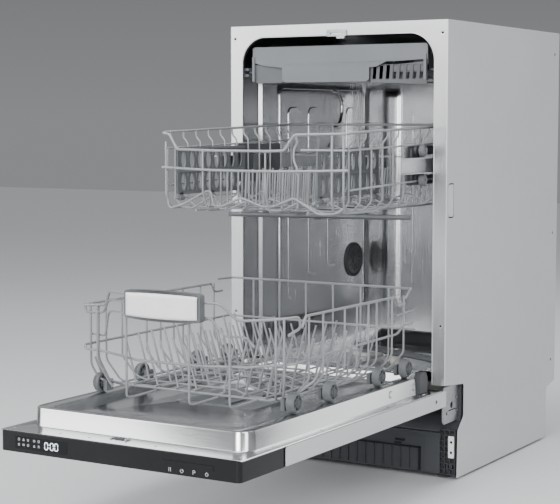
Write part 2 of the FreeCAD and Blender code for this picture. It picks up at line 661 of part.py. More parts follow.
ROLLER_STATION = "-28"
GLIDE_STATION = "84"
adjusters = []
roller_outline = [
    ("3 + run", "0"), ("6", "0"), ("6", "2"), ("8.5", "2"), ("8.5", "0"), ("roller_rad", "0"),
    ("roller_rad", "9"), ("8.5", "9"), ("8.5", "7"), ("6", "7"), ("6", "9"), ("3 + run", "9"),
]
for side, sign in SIDES:
    right = side == "right"
    x0, x1 = ("up_half - 7", "up_half - 2") if right else ("-up_half + 2", "-up_half + 7")
    blocks = []
    for z in ("roller_high", "roller_low"):
        blocks.append(box(x0, x1, "%s - 7" % ROLLER_STATION, "%s + 7" % ROLLER_STATION,
                          "(%s) - 7" % z, "(%s) + 7" % z))
        blocks.append(rod("up_half - 3" if right else "-up_half - 14", ROLLER_STATION, z, "3", "17", "x"))
        label = "rack_roller_%s_%s" % (side, "top" if z == "roller_high" else "low")
        x = "up_half + 4.8" if right else "-up_half - 13.8"
        node(label, lathe(label, roller_outline, x, ROLLER_STATION, z, "x"))
    shoe_low, shoe_high = ("up_half - 7", "up_half + 3.5") if right else ("-up_half - 3.5", "-up_half + 7")
    blocks.append(box(shoe_low, shoe_high, "%s - 6" % GLIDE_STATION, "%s + 2" % GLIDE_STATION,
                      "roller_high - 8", "roller_high"))
    x0, x1 = ("up_half - 10", "up_half - 6") if right else ("-up_half + 6", "-up_half + 10")
    blocks.append(box(x0, x1, "-60", "100", "roller_low - 10", "roller_high + 10"))
    adjusters.append(fuse(blocks))
node("height_adjusters", group(adjusters))

UPPER_ARM_Y = "-62"
hub_outline = [("0", "0"), ("7", "0"), ("7", "2.2"), ("4", "2.2"), ("4", "11.8"), ("10", "11.8"),
               ("10", "16"), ("0", "16")]
hub = lathe("arm_hub", hub_outline, "0", UPPER_ARM_Y, "up_floor - 27")
feed_tube = rod("0", UPPER_ARM_Y, "up_floor - 9.2", "4.5", "200", "y")
node("upper_feed_tube", fuse([hub, feed_tube]))


def spray_arm(label, x, y, z, reach, thick, turn):
    """A flat two-bladed arm with a bored hub."""
    blade = box("-(%s)" % reach, reach, "-(face) - 13", "-(face) + 13", "0", thick)
    disc = rod("0", "-(face)", "0", "24", thick)
    arm = cut(fuse([blade, disc]), [rod("0", "-(face)", "-1", "4 + run", "20")])
    holder = group([arm])
    holder.Placement = Placement(Vector(), Rotation(Vector(0, 0, 1), turn))
    place(holder, x, y, z)
    return node(label, holder)


spray_arm("upper_spray_arm", "0", UPPER_ARM_Y, "up_floor - 24.5", "172", "9", 12)
spray_arm("lower_spray_arm", "0", "arm_y", "well + 17", "148", "10", -25)
node("filter_mesh_plate", cut(box("-60", "130", "arm_y - 70", "395", "well + 0.3", "well + 1.5"), [
    rod("70", "330", "well - 1", "41", "5"), rod("0", "arm_y", "well - 1", "15", "5")]))
node("filter_cylinder", fuse([rod("70", "330", "well - 40", "38", "48"),
                              box("50", "90", "326", "334", "well + 7", "well + 14")]))
node("salt_cap", fuse([rod("-105", "330", "well + 0.3", "32", "8"),
                       box("-125", "-85", "326", "334", "well + 8", "well + 14")]))

# ---------------------------------------------------------- cutlery tray
# front plate with both lower corners cut away, and a basin with three bays
front_plate = box("-tray_half", "tray_half", "6", "12", "tray_low", "tray_top")
corners = [box("-tray_half - 1", "-116", "5", "13", "tray_low - 1", "tray_top - 32"),
           box("66", "tray_half + 1", "5", "13", "tray_low - 1", "tray_top - 32")]
tray_front = cut(front_plate, corners)
tray_deck = "tray_low + 16"
basin = box("-tray_half", "tray_half", "12.3", "460", tray_deck, "tray_low + 48")
hollows = [box(x0, x1, "16", "456", "tray_low + 19", "tray_low + 60") for x0, x1 in
           (("-tray_half + 3", "-62"), ("-58", "58"), ("62", "tray_half - 3"))]
drains = [box(x, "(%s) + 50" % x, y, "(%s) + 8" % y, "tray_low + 14", "tray_low + 21")
          for x in ("-150", "-25", "100") for y in spread("40", "430", 14)]
skids = [box("-198", "-tray_half + 0.5", "20", "440", "tray_low + 18", "tray_low + 22"),
         box("tray_half - 0.5", "198", "20", "440", "tray_low + 18", "tray_low + 22")]
node("cutlery_tray", group([tray_front, fuse([cut(basin, hollows + drains)] + skids)]))

# ------------------------------------------------------------ final checks
doc.recompute()
for item in doc.Objects:
    if "Invalid" in item.State or "Error" in item.State:
        raise RuntimeError("failed to compute: " + item.Label)
for item in PARTS:
    if item.Shape.isNull() or not item.Shape.isValid():
        raise RuntimeError("bad shape: " + item.Label)
    item.Shape.exportStep("parts/%s.step" % item.Label)
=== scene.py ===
import math

import bmesh
import bpy
from mathutils import Matrix, Vector
from mathutils.geometry import tessellate_polygon


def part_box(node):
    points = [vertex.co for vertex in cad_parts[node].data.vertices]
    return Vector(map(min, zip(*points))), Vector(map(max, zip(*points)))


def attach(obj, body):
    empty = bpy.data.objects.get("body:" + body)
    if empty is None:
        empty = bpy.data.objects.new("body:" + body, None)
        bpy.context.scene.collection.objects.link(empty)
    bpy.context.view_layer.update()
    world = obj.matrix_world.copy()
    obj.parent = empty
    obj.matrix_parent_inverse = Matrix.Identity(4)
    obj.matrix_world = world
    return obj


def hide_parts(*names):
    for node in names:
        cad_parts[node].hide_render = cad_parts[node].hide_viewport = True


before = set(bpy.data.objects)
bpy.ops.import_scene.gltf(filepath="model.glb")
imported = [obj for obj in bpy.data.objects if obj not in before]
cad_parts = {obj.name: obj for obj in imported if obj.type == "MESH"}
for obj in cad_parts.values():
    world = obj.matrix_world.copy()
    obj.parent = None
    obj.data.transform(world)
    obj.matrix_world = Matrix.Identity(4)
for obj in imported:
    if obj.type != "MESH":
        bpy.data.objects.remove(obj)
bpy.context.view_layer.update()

bl_info = {
    "name": "Slimline dishwasher",
    "version": (1, 0, 0),
    "blender": (4, 5, 0),
    "location": "View3D > Sidebar > Dishwasher",
    "description": "Dresses the packed dishwasher frame with its visible pieces and finishes",
    "category": "Object",
}

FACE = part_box("front_frame")[0][1] * 1000          # front plane of the cabinet, millimetres
SHEET_LOW, SHEET_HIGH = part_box("side_panels")
TUB_LOW, TUB_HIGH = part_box("tub_wrap")
HALF_WIDE = SHEET_HIGH[0] * 1000
TALL = SHEET_HIGH[2] * 1000
SIDES = (("left", -1), ("right", 1))
HINGE_Y, HINGE_Z = -11, 160                        # pivot of the door
PLINTH_FRONT = 53.0                                # front plane of the plinth, behind the cabinet's front
TUB_TOP, TUB_CORNER, TUB_BACK = 808, 61.5, 506     # inside of the drawn tub
TUB_SHEET = 0.6                                    # thickness of the drawn sheet
STEP_START, STEP_DEPTH = 75, 5.4                   # slanted step round the tub's side walls
PANEL_DEPTH = 2.6                                  # raised field of the tub's side walls
BLOCK_FACES = [(0, 1, 3, 2), (4, 6, 7, 5), (0, 4, 5, 1), (2, 3, 7, 6), (0, 2, 6, 4), (1, 5, 7, 3)]


# ------------------------------------------------------------------ helpers
def linear(code, alpha=1.0):
    """An sRGB hex value as the linear colour that shaders use."""
    out = []
    for start in (0, 2, 4):
        share = int(code[start:start + 2], 16) / 255
        out.append(share / 12.92 if share <= 0.04045 else ((share + 0.055) / 1.055) ** 2.4)
    return (*out, alpha)


def at(x, y, z):
    """A point in metres from millimetres, with y counted from the cabinet's front plane."""
    return Vector((x / 1000, (y + FACE) / 1000, z / 1000))


def ease(value, low, high):
    """0 below low, 1 above high and a smooth run between them."""
    share = min(max((value - low) / (high - low), 0.0), 1.0)
    return share * share * (3 - 2 * share)


def steps(first, last, count):
    return [first + (last - first) * index / (count - 1) for index in range(count)]


def soften(points, radius):
    """The same run of points with its inner corners turned into short arcs."""
    points = [Vector(point) for point in points]
    out = [points[0]]
    for before, corner, after in zip(points, points[1:], points[2:]):
        back, ahead = before - corner, after - corner
        reach = min(radius / 1000, back.length * 0.45, ahead.length * 0.45)
        start, end = corner + back.normalized() * reach, corner + ahead.normalized() * reach
        for share in (0.0, 0.25, 0.5, 0.75, 1.0):
            out.append(start.lerp(corner, share).lerp(corner.lerp(end, share), share))
    out.append(points[-1])
    return out


def mirrored(points):
    """The same run of points on the other side of the machine, in the opposite order."""
    return [Vector((-point.x, point.y, point.z)) for point in reversed(points)]


class Maker:
    """Collects the faces of one piece in millimetres and hands over a finished object."""

    def __init__(self):
        self.verts = []
        self.faces = []

    def add(self, verts, faces):
        first = len(self.verts)
        self.verts += [Vector(vert) for vert in verts]
        self.faces += [tuple(first + index for index in face) for face in faces]

    def box(self, x0, x1, y0, y1, z0, z1):
        corners = [at(x, y, z) for x in (x0, x1) for y in (y0, y1) for z in (z0, z1)]
        self.add(corners, BLOCK_FACES)

    def strip(self, start, end, wide, thick, up):
        """A flat bar between two points, wide across and thick along the given up direction."""
        along = (end - start).normalized()
        high = Vector(up)
        side = along.cross(high).normalized() * wide / 2000
        lift = high.normalized() * thick / 2000
        corners = [place + side * a + lift * b for place in (start, end) for a in (-1, 1) for b in (-1, 1)]
        self.add(corners, BLOCK_FACES)

    def turned(self, profile, centre, axis, around=32):
        """A turned solid from (radius, height) pairs in millimetres about an axis through centre."""
        axis = Vector(axis).normalized()
        side = axis.orthogonal().normalized()
        other = axis.cross(side)
        rings = []
        for index in range(around):
            angle = math.tau * index / around
            out = side * math.cos(angle) + other * math.sin(angle)
            rings.append([centre + out * rad / 1000 + axis * high / 1000 for rad, high in profile])
        count = len(profile)
        verts = [vert for ring in rings for vert in ring]
        faces = []
        for index in range(around):
            after = (index + 1) % around
            for step in range(count - 1):
                faces.append((index * count + step, after * count + step, after * count + step + 1,
                              index * count + step + 1))
        self.add(verts, faces)

    def plate(self, outline, holes, place, thick):
        """A flat plate from an outline and holes of (u, v) pairs; place(u, v, depth) gives the points."""
        loops = [outline] + holes
        flat = [Vector((u, v, 0)) for loop in loops for u, v in loop]
        cover = tessellate_polygon([[Vector((u, v, 0)) for u, v in loop] for loop in loops])
        total = len(flat)
        verts = [place(point.x, point.y, depth) for depth in (0, thick) for point in flat]
        faces = [tuple(tri) for tri in cover]
        faces += [tuple(index + total for index in reversed(tri)) for tri in cover]
        first = 0
        for loop in loops:
            for index in range(len(loop)):
                a, b = first + index, first + (index + 1) % len(loop)
                faces.append((a, b, b + total, a + total))
            first += len(loop)
        self.add(verts, faces)

    def surface(self, across, along, place, keep=None):
        """A grid of points place(u, v), leaving out cells where keep(u, v) is false."""
        verts = [place(u, v) for u in across for v in along]
        high = len(along)
        faces = []
        for row in range(len(across) - 1):
            for step in range(high - 1):
                middle_u = (across[row] + across[row + 1]) / 2
                middle_v = (along[step] + along[step + 1]) / 2
                if keep is None or keep(middle_u, middle_v):
                    first = row * high + step
                    faces.append((first, first + high, first + high + 1, first + 1))
        self.add(verts, faces)

    def loops(self, rings, corner=7):
        """A skin through rounded rectangles (x0, x1, y0, y1, radius, z), open at both ends."""
        total = 4 * (corner + 1)
        verts = [at(x, y, z) for x0, x1, y0, y1, radius, z in rings for x,
                 y in rounded(x0, x1, y0, y1, radius, corner)]
        faces = []
        for row in range(len(rings) - 1):
            for step in range(total):
                after = (step + 1) % total
                faces.append((row * total + step, row * total + after, (row + 1) * total + after,
                              (row + 1) * total + step))
        self.add(verts, faces)

    def piece(self, name, body, finish, nodes=(), bevel=0.0, smooth=True, thick=0.0, sides=2):
        mesh = bpy.data.meshes.new(name)
        mesh.from_pydata(self.verts, [], self.faces)
        work = bmesh.new()
        work.from_mesh(mesh)
        bmesh.ops.remove_doubles(work, verts=work.verts, dist=1e-6)
        loose = [vert for vert in work.verts if not vert.link_faces]
        bmesh.ops.delete(work, geom=loose, context="VERTS")
        bmesh.ops.recalc_face_normals(work, faces=work.faces)
        work.to_mesh(mesh)
        work.free()
        item = bpy.data.objects.new(name, mesh)
        bpy.context.scene.collection.objects.link(item)
        if thick:
            shell = item.modifiers.new("sheet", "SOLIDIFY")
            shell.thickness = thick / 1000
            shell.offset = 0
        if bevel:
            edge = item.modifiers.new("edge", "BEVEL")
            edge.width = bevel / 1000
            edge.segments = sides
            edge.limit_method = "ANGLE"
            edge.angle_limit = math.radians(38)
            edge.harden_normals = False
        if smooth:
            mesh.polygons.foreach_set("use_smooth", [True] * len(mesh.polygons))
            mesh.set_sharp_from_angle(angle=math.radians(34))
        return settle(item, body, finish, nodes)


def settle(item, body, finish, nodes=()):
    """Gives a piece its finish, its body, its material slot and the nodes that it stands for."""
    item.data.materials.append(finish)
    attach(item, body)
    if nodes:
        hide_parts(*nodes)
    return item


def wires(name, runs, body, finish, nodes=(), radius=1.7, bend=8, sides=3):
    """One object of bent wires; each run is (points, thickness factor, closed)."""
    curve = bpy.data.curves.new(name, "CURVE")
    curve.dimensions = "3D"
    curve.bevel_depth = radius / 1000
    curve.bevel_resolution = sides
    curve.use_fill_caps = True
    for points, factor, closed in runs:
        route = soften(points, bend)
        spline = curve.splines.new("POLY")
        spline.points.add(len(route) - 1)
        for knot, point in zip(spline.points, route):
            knot.co = (*point, 1)
            knot.radius = factor
        spline.use_cyclic_u = closed
        spline.use_smooth = True
    item = bpy.data.objects.new(name, curve)
    bpy.context.scene.collection.objects.link(item)
    return settle(item, body, finish, nodes)


def disc(centre_u, centre_v, radius, count=20):
    return [(centre_u + radius * math.cos(math.tau * i / count),
             centre_v + radius * math.sin(math.tau * i / count))
            for i in range(count)]


def rounded(u0, u1, v0, v1, radius, count=6):
    """A rectangle with round corners as (u, v) pairs."""
    out = []
    for cu, cv, start in ((u1 - radius, v1 - radius, 0), (u0 + radius, v1 - radius, 90),
                          (u0 + radius, v0 + radius, 180), (u1 - radius, v0 + radius, 270)):
        for index in range(count + 1):
            angle = math.radians(start + 90 * index / count)
            out.append((cu + radius * math.cos(angle), cv + radius * math.sin(angle)))
    return out


def tinted(name, share=1.0):
    """One of the colours that a user may change, darker where share is below 1."""
    chosen = getattr(bpy.context.scene.dishwasher_colours, name)
    return (*(value * share for value in chosen), 1.0)


def dress(finish, *names):
    """Puts a finish on CAD nodes that keep their own shape."""
    for name in names:
        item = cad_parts[name]
        item.data.materials.clear()
        item.data.materials.append(finish)


# ---------------------------------------------------------------- materials
def add(tree, kind, settings=None, links=None):
    """Adds one node, sets its properties and inputs, and links its inputs to given outputs."""
    node = tree.nodes.new(kind)
    for key, value in (settings or {}).items():
        if isinstance(key, str) and key not in node.inputs:
            setattr(node, key, value)
        else:
            node.inputs[key].default_value = value
    for key, output in (links or {}).items():
        tree.links.new(output, node.inputs[key])
    return node


FINISHES = {}


def finish(name, light, dark, metallic, rough, grain, relief, stretch=(1, 1, 1), spread=0.12,
           cloud=90, extra=None):
    """A worked surface: a fine grain drawn in millimetres, cloudy gloss and rubbed edges.

    light and dark are the two tones between which the grain wanders, grain is its size in
    millimetres, relief its depth in millimetres and cloud the size of the wiped patches.
    """
    if name in FINISHES:
        return FINISHES[name]
    light, dark = (linear(tone) if isinstance(tone, str) else tone for tone in (light, dark))
    made = bpy.data.materials.new(name)
    made.use_nodes = True
    tree = made.node_tree
    shader = tree.nodes["Principled BSDF"]
    place = add(tree, "ShaderNodeTexCoord")
    drawn = add(tree, "ShaderNodeMapping", {"Scale": tuple(value * 1000 / grain for value in stretch)},
                {"Vector": place.outputs["Object"]})
    grains = add(tree, "ShaderNodeTexNoise", {"Scale": 1.0, "Detail": 4.0, "Roughness": 0.6},
                 {"Vector": drawn.outputs["Vector"]})
    clouds = add(tree, "ShaderNodeTexNoise", {"Scale": 1000 / cloud, "Detail": 3.0, "Roughness": 0.55},
                 {"Vector": place.outputs["Object"]})
    both = add(tree, "ShaderNodeMath", {"operation": "ADD"},
               {0: grains.outputs["Fac"], 1: clouds.outputs["Fac"]})
    half = add(tree, "ShaderNodeMath", {"operation": "MULTIPLY", 1: 0.5}, {0: both.outputs[0]})
    tone = add(tree, "ShaderNodeValToRGB", None, {"Fac": half.outputs[0]})
    tone.color_ramp.elements[0].position = 0.32
    tone.color_ramp.elements[0].color = dark
    tone.color_ramp.elements[1].position = 0.68
    tone.color_ramp.elements[1].color = light
    shape = add(tree, "ShaderNodeNewGeometry")
    rub = add(tree, "ShaderNodeMapRange", {"From Min": 0.52, "From Max": 0.62, "To Min": 0.0,
                                           "To Max": 0.35},
              {"Value": shape.outputs["Pointiness"]})
    worn = add(tree, "ShaderNodeMixRGB", {"blend_type": "SCREEN", "Color2": light},
               {"Fac": rub.outputs["Result"], "Color1": tone.outputs["Color"]})
    gloss = add(tree, "ShaderNodeMapRange",
                {"From Min": 0.3, "From Max": 0.7, "To Min": max(rough - spread, 0.02),
                 "To Max": min(rough + spread, 1)},
                {"Value": half.outputs[0]})
    bump = add(tree, "ShaderNodeBump", {"Strength": 0.6, "Distance": relief / 1000},
               {"Height": grains.outputs["Fac"]})
    tree.links.new(worn.outputs["Color"], shader.inputs["Base Color"])
    tree.links.new(gloss.outputs["Result"], shader.inputs["Roughness"])
    tree.links.new(bump.outputs["Normal"], shader.inputs["Normal"])
    shader.inputs["Metallic"].default_value = metallic
    for key, value in (extra or {}).items():
        shader.inputs[key].default_value = value
    FINISHES[name] = made
    return made


# coil-coated galvanised sheet: an even light grey with a very soft paint texture
def coated_sheet():
    return finish("coil_coated_galvanised_sheet", tinted("sheet"), tinted("sheet", 0.9),
                  metallic=0.0, rough=0.42, grain=2.5, relief=0.008,
                  extra={"IOR": 1.5, "Specular IOR Level": 0.45})


# brushed stainless strip: fine upright lines that drag the highlights out
def brushed_steel():
    return finish("brushed_stainless_steel", "C6C7C9", "BBBCBE",
                  metallic=1.0, rough=0.36, grain=1.8, relief=0.002, stretch=(1, 1, 0.05), spread=0.05,
                  cloud=160)


# deep-drawn stainless steel: cold, bright, with broad soft reflections and faint drawing marks
def drawn_steel():
    return finish("deep_drawn_stainless_steel", tinted("tub"), tinted("tub", 0.87),
                  metallic=1.0, rough=0.24, grain=3.0, relief=0.0012, stretch=(1, 0.6, 0.06),
                  spread=0.05, cloud=180)


# pressed stainless steel of the door pan: brighter than the tub, lightly wiped
def pressed_steel():
    return finish("pressed_stainless_steel", "D2D3D4", "C6C7C9",
                  metallic=1.0, rough=0.2, grain=2.6, relief=0.0012, stretch=(0.06, 1, 1), spread=0.05,
                  cloud=160)


# zinc-plated steel: pale spangle and duller, greyer gloss
def zinc_steel():
    return finish("zinc_plated_steel", "B4B6B8", "8C8F92",
                  metallic=0.9, rough=0.42, grain=6.0, relief=0.02, stretch=(1, 1, 1), spread=0.14,
                  cloud=30)


# moulded gloss ABS of the fascia: deep black with long clean reflections
def black_abs():
    return finish("moulded_gloss_black_abs", tinted("fascia"), tinted("fascia", 0.55),
                  metallic=0.0, rough=0.30, grain=1.5, relief=0.003, spread=0.05,
                  extra={"IOR": 1.53, "Specular IOR Level": 0.32})


# polyamide-coated steel wire: mid grey, thick-skinned and softly shiny
def coated_wire():
    return finish("polyamide_coated_wire", tinted("wire"), tinted("wire", 0.7),
                  metallic=0.0, rough=0.34, grain=1.4, relief=0.02, spread=0.08, extra={"IOR": 1.53})


# moulded grey polypropylene: slightly waxy, with a fine spark-eroded grain
def grey_polypropylene():
    return finish("moulded_grey_polypropylene", tinted("plastic"), tinted("plastic", 0.75),
                  metallic=0.0, rough=0.46, grain=0.9, relief=0.03,
                  extra={"IOR": 1.49, "Subsurface Weight": 0.03,
                         "Subsurface Radius": (0.002, 0.002, 0.002)})


# darker glass-filled polypropylene for combs and adjusters
def dark_polypropylene():
    return finish("moulded_dark_grey_polypropylene", "484A4D", "393B3E",
                  metallic=0.0, rough=0.5, grain=0.9, relief=0.03, extra={"IOR": 1.49})


# moulded white ABS: clean, opaque and half-gloss
def white_abs():
    return finish("moulded_white_abs", tinted("handle"), tinted("handle", 0.89),
                  metallic=0.0, rough=0.28, grain=1.4, relief=0.006, spread=0.06, extra={"IOR": 1.53})


# moulded EPDM rubber: dull dark grey that takes light only along its bulges
def epdm_rubber():
    return finish("moulded_epdm_rubber", "3A3C3F", "2A2C2F",
                  metallic=0.0, rough=0.5, grain=0.8, relief=0.03, extra={"IOR": 1.5})


# recycled polypropylene of the base: near-black, coarse and dry
def base_polypropylene():
    return finish("moulded_black_polypropylene", "37393C", "2A2C2F",
                  metallic=0.0, rough=0.5, grain=1.6, relief=0.05, extra={"IOR": 1.49})


# natural polypropylene of pumps and tanks: milky off-white
def natural_polypropylene():
    return finish("moulded_natural_polypropylene", "D9D8D2", "C6C5BE",
                  metallic=0.0, rough=0.45, grain=1.2, relief=0.03, extra={"IOR": 1.49})


# cast iron ballast: dark, sandy and dead matt
def cast_iron():
    return finish("sand_cast_iron", "4A4A4B", "343435",
                  metallic=0.8, rough=0.7, grain=2.5, relief=0.2)


# glass-fibre laminate of the control board
def laminate():
    return finish("green_board_laminate", "2E6B45", "24563A",
                  metallic=0.0, rough=0.4, grain=1.2, relief=0.01)


# tinted acrylic of the display window: black glass that shows the lit marks behind it
def tinted_acrylic():
    return finish("tinted_acrylic", "0A0B0D", "060708",
                  metallic=0.0, rough=0.22, grain=3.0, relief=0.001, spread=0.04,
                  extra={"IOR": 1.49, "Specular IOR Level": 0.3})


# lit white diodes behind the window
def lit_white():
    return finish("lit_white_diodes", "F4F8FF", "E6ECF6",
                  metallic=0.0, rough=0.4, grain=1.0, relief=0.001,
                  extra={"Emission Color": linear("EAF2FF"), "Emission Strength": 1.6})


# screen-printed grey ink on the fascia
def printed_ink():
    return finish("screen_printed_grey_ink", "B9BCC0", "A8ABAF",
                  metallic=0.0, rough=0.5, grain=0.6, relief=0.004)


# ------------------------------------------------------------------ cabinet
def build_side_panels(_scene):
    """Two pressed side sheets with a cut-out corner, a punched tab and a folded front edge."""
    low = SHEET_LOW[2] * 1000
    outline = [(0.6, TALL), (532, TALL), (533, TALL - 2), (533, 118), (530, 114), (489, 105), (487, 102),
               (487, low), (54, low), (56, 88), (58, 92), (79, 112), (81, 116), (81, 170), (78, 173),
               (3, 180), (0, 184), (0, TALL - 1)]
    tab = [(8, 535), (11, 538), (28, 538), (30.5, 535), (30.5, 480), (28, 477), (11, 477), (8, 480),
           (8, 483), (9.8, 483), (9.8, 481), (11.6, 479), (27.2, 479), (28.6, 480.8), (28.6, 534.2),
           (27.2, 536), (11.6, 536), (9.8, 534), (9.8, 532), (8, 532)]
    rear_holes = [disc(510, z, 3, 12) for z in (160, 420, 780)]
    make = Maker()
    for sign in (-1, 1):
        make.plate(outline, [tab] + rear_holes,
                   lambda y, z, depth, sign=sign: at(sign * (HALF_WIDE - depth), y, z), 0.8)
    make.piece("side_panels_pressed", "cabinet", coated_sheet(), ["side_panels"],
               bevel=0.25)
    folds = []
    for sign in (-1, 1):
        folds.append(([at(sign * (HALF_WIDE - 1.1), 0.8, 182), at(sign * (HALF_WIDE - 1.1), 0.8, TALL - 1)],
                      1, False))
        folds.append(([at(sign * (HALF_WIDE - 1.2), 56, low + 2),
                       at(sign * (HALF_WIDE - 1.2), 485, low + 2)], 1, False))
    wires("side_panel_folds", folds, "cabinet", coated_sheet(), radius=1.0, sides=2)


def build_front_frame(_scene):
    """The bright strips round the tub mouth, their rolled inner edge and the striker plate."""
    dress(brushed_steel(), "front_frame")
    half, top, corner = 198.5, 802, 50
    route = [at(-half, 0.2, 181), at(-half, 0.2, top - corner)]
    for index in range(1, 12):
        angle = math.radians(180 - 90 * index / 12)
        route.append(at(-half + corner + corner * math.cos(angle), 0.2,
                        top - corner + corner * math.sin(angle)))
    wires("mouth_rolled_edge", [(route + mirrored(route), 1, False)], "cabinet",
          brushed_steel(), radius=1.1, bend=1, sides=2)
    make = Maker()
    make.plate(rounded(-17, 24, 799.5, 812, 2.5), [rounded(-9, 16, 802, 806, 1.5)],
               lambda x, z, depth: at(x, -0.1 - depth, z), 2.6)
    make.turned([(0, -3.6), (2.2, -3.4), (2.4, -2.6), (2.4, 0)], at(-13, 0, 808), (0, 1, 0), 16)
    make.turned([(0, -3.6), (2.2, -3.4), (2.4, -2.6), (2.4, 0)], at(20, 0, 808), (0, 1, 0), 16)
    make.box(4, 20, -2.6, 3, 795.5, 799.6)
    make.piece("striker_plate_pressed", "cabinet", zinc_steel(), ["striker_plate"],
               bevel=0.3)
    rings = Maker()
    for sign in (-1, 1):
        for z in (800, 286):
            rings.turned([(2.1, -0.1), (3.4, -0.35), (4.4, -0.35), (4.6, 0.0), (2.1, 0.0)],
                         at(sign * 214, 0, z), (0, 1, 0), 20)
    rings.piece("frame_hole_collars", "cabinet", brushed_steel())


def wall_offset(y, z):
    """How far a tub side wall stands in from its widest line, in millimetres."""
    front_step = min(max(y - STEP_START, 0.0), STEP_DEPTH)
    panel = PANEL_DEPTH * ease(y, 138, 143) * (1 - ease(y, 491, 496)) * ease(z, 245,
            252) * (1 - ease(z, 709, 715))
    return front_step + panel


def build_tub(scene):
    """The deep-drawn tub: wrap, back wall, pressed ribs and the round cap on its left wall."""
    sizes = scene.dishwasher_sizes
    inner = TUB_HIGH[0] * 1000 - 0.8
    top, corner, low, back = TUB_TOP, TUB_CORNER, 181, TUB_BACK
    around = [("left", z) for z in steps(low, top - corner, 96)]
    around += [("arc", 180 - 90 * index / 14) for index in range(1, 14)]
    around += [("top", x) for x in steps(-inner + corner, inner - corner, 24)]
    around += [("arc_right", 90 - 90 * index / 14) for index in range(1, 14)]
    around += [("right", z) for z in steps(top - corner, low, 96)]
    depth = [1.4, 14, 40, 66, 73, 75, 80.4, 82.4, 92] + steps(108, back, 84)

    def place(index, y):
        kind, value = around[int(index)]
        if kind in ("left", "right"):
            sign = -1 if kind == "left" else 1
            return at(sign * (inner - wall_offset(y, value)), y, value)
        if kind == "top":
            return at(value, y, top)
        angle = math.radians(value)
        sign = -1 if kind == "arc" else 1
        pull = wall_offset(y, top) * abs(math.cos(angle))
        return at(sign * (inner - corner - pull) + corner * math.cos(angle), y,
                  top - corner + corner * math.sin(angle))

    make = Maker()
    make.surface(list(range(len(around))), depth, place)
    make.piece("tub_wrap_drawn", "cabinet", drawn_steel(), ["tub_wrap"], thick=TUB_SHEET)

    def back_place(x, z):
        high = 4 * ease(abs(x), 118, 128) * (1 - ease(abs(x), 150, 160)) * ease(z, 250,
                262) * (1 - ease(z, 700, 712))
        return at(x, back - TUB_SHEET - high, z)

    make = Maker()
    make.surface(steps(-inner + 0.3, inner - 0.3, 120), steps(176, top, 120), back_place,
                 lambda x, z: not (z > top - corner and abs(x) > inner - corner and
                                   math.hypot(abs(x) - inner + corner, z - top + corner) > corner))
    make.piece("tub_back_wall_drawn", "cabinet", drawn_steel(), ["tub_back_wall"],
               thick=TUB_SHEET)

    ribs = []
    for sign in (-1, 1):
        face = sign * (inner - 8.3)
        for y, high, reach in ((174, 673, 290), (254, 673, 335), (334, 600, 345), (414, 674, 425)):
            ribs.append(([at(face, y + 30, high), at(face, y, high), at(face, y, reach),
                          at(face, y + 30, reach)], 1, False))
        ribs.append(([at(face, 349, 708), at(face, 378, 706), at(face, 395, 688), at(face, 394, 655),
                      at(face, 376, 634), at(face, 349, 632)], 1.8, False))
        ribs.append(([at(face, 141, 262), at(face, 141, 711), at(face, 493, 711), at(face, 493, 262)], 0.8,
                     False))
    for x in (-90, 0, 90):
        ribs.append(([at(x, back - 1.0, 300), at(x, back - 1.0, 660)], 1.0, False))
    wires("tub_pressed_ribs", ribs, "cabinet", drawn_steel(), radius=sizes.rib_radius * 1000,
          bend=14, sides=4)

    cap = Maker()
    centre = at(-inner + 7.2, 447, 351)
    cap.turned([(0, 5.5), (7, 5.5), (8, 4.2), (24, 3.6), (26, 4.6), (31, 4.6), (33, 3.2), (34, 5.2),
                (36.5, 5.0), (36.5, 0)],
               centre, (1, 0, 0), 48)
    for index in range(12):
        angle = math.tau * index / 12
        out = Vector((0, math.cos(angle), math.sin(angle)))
        cap.strip(centre + out * 0.010 + Vector((0.0042, 0, 0)),
                  centre + out * 0.024 + Vector((0.0042, 0, 0)), 1.8, 2.0, (1, 0, 0))
    cap.piece("side_vent_cap", "cabinet", dark_polypropylene())


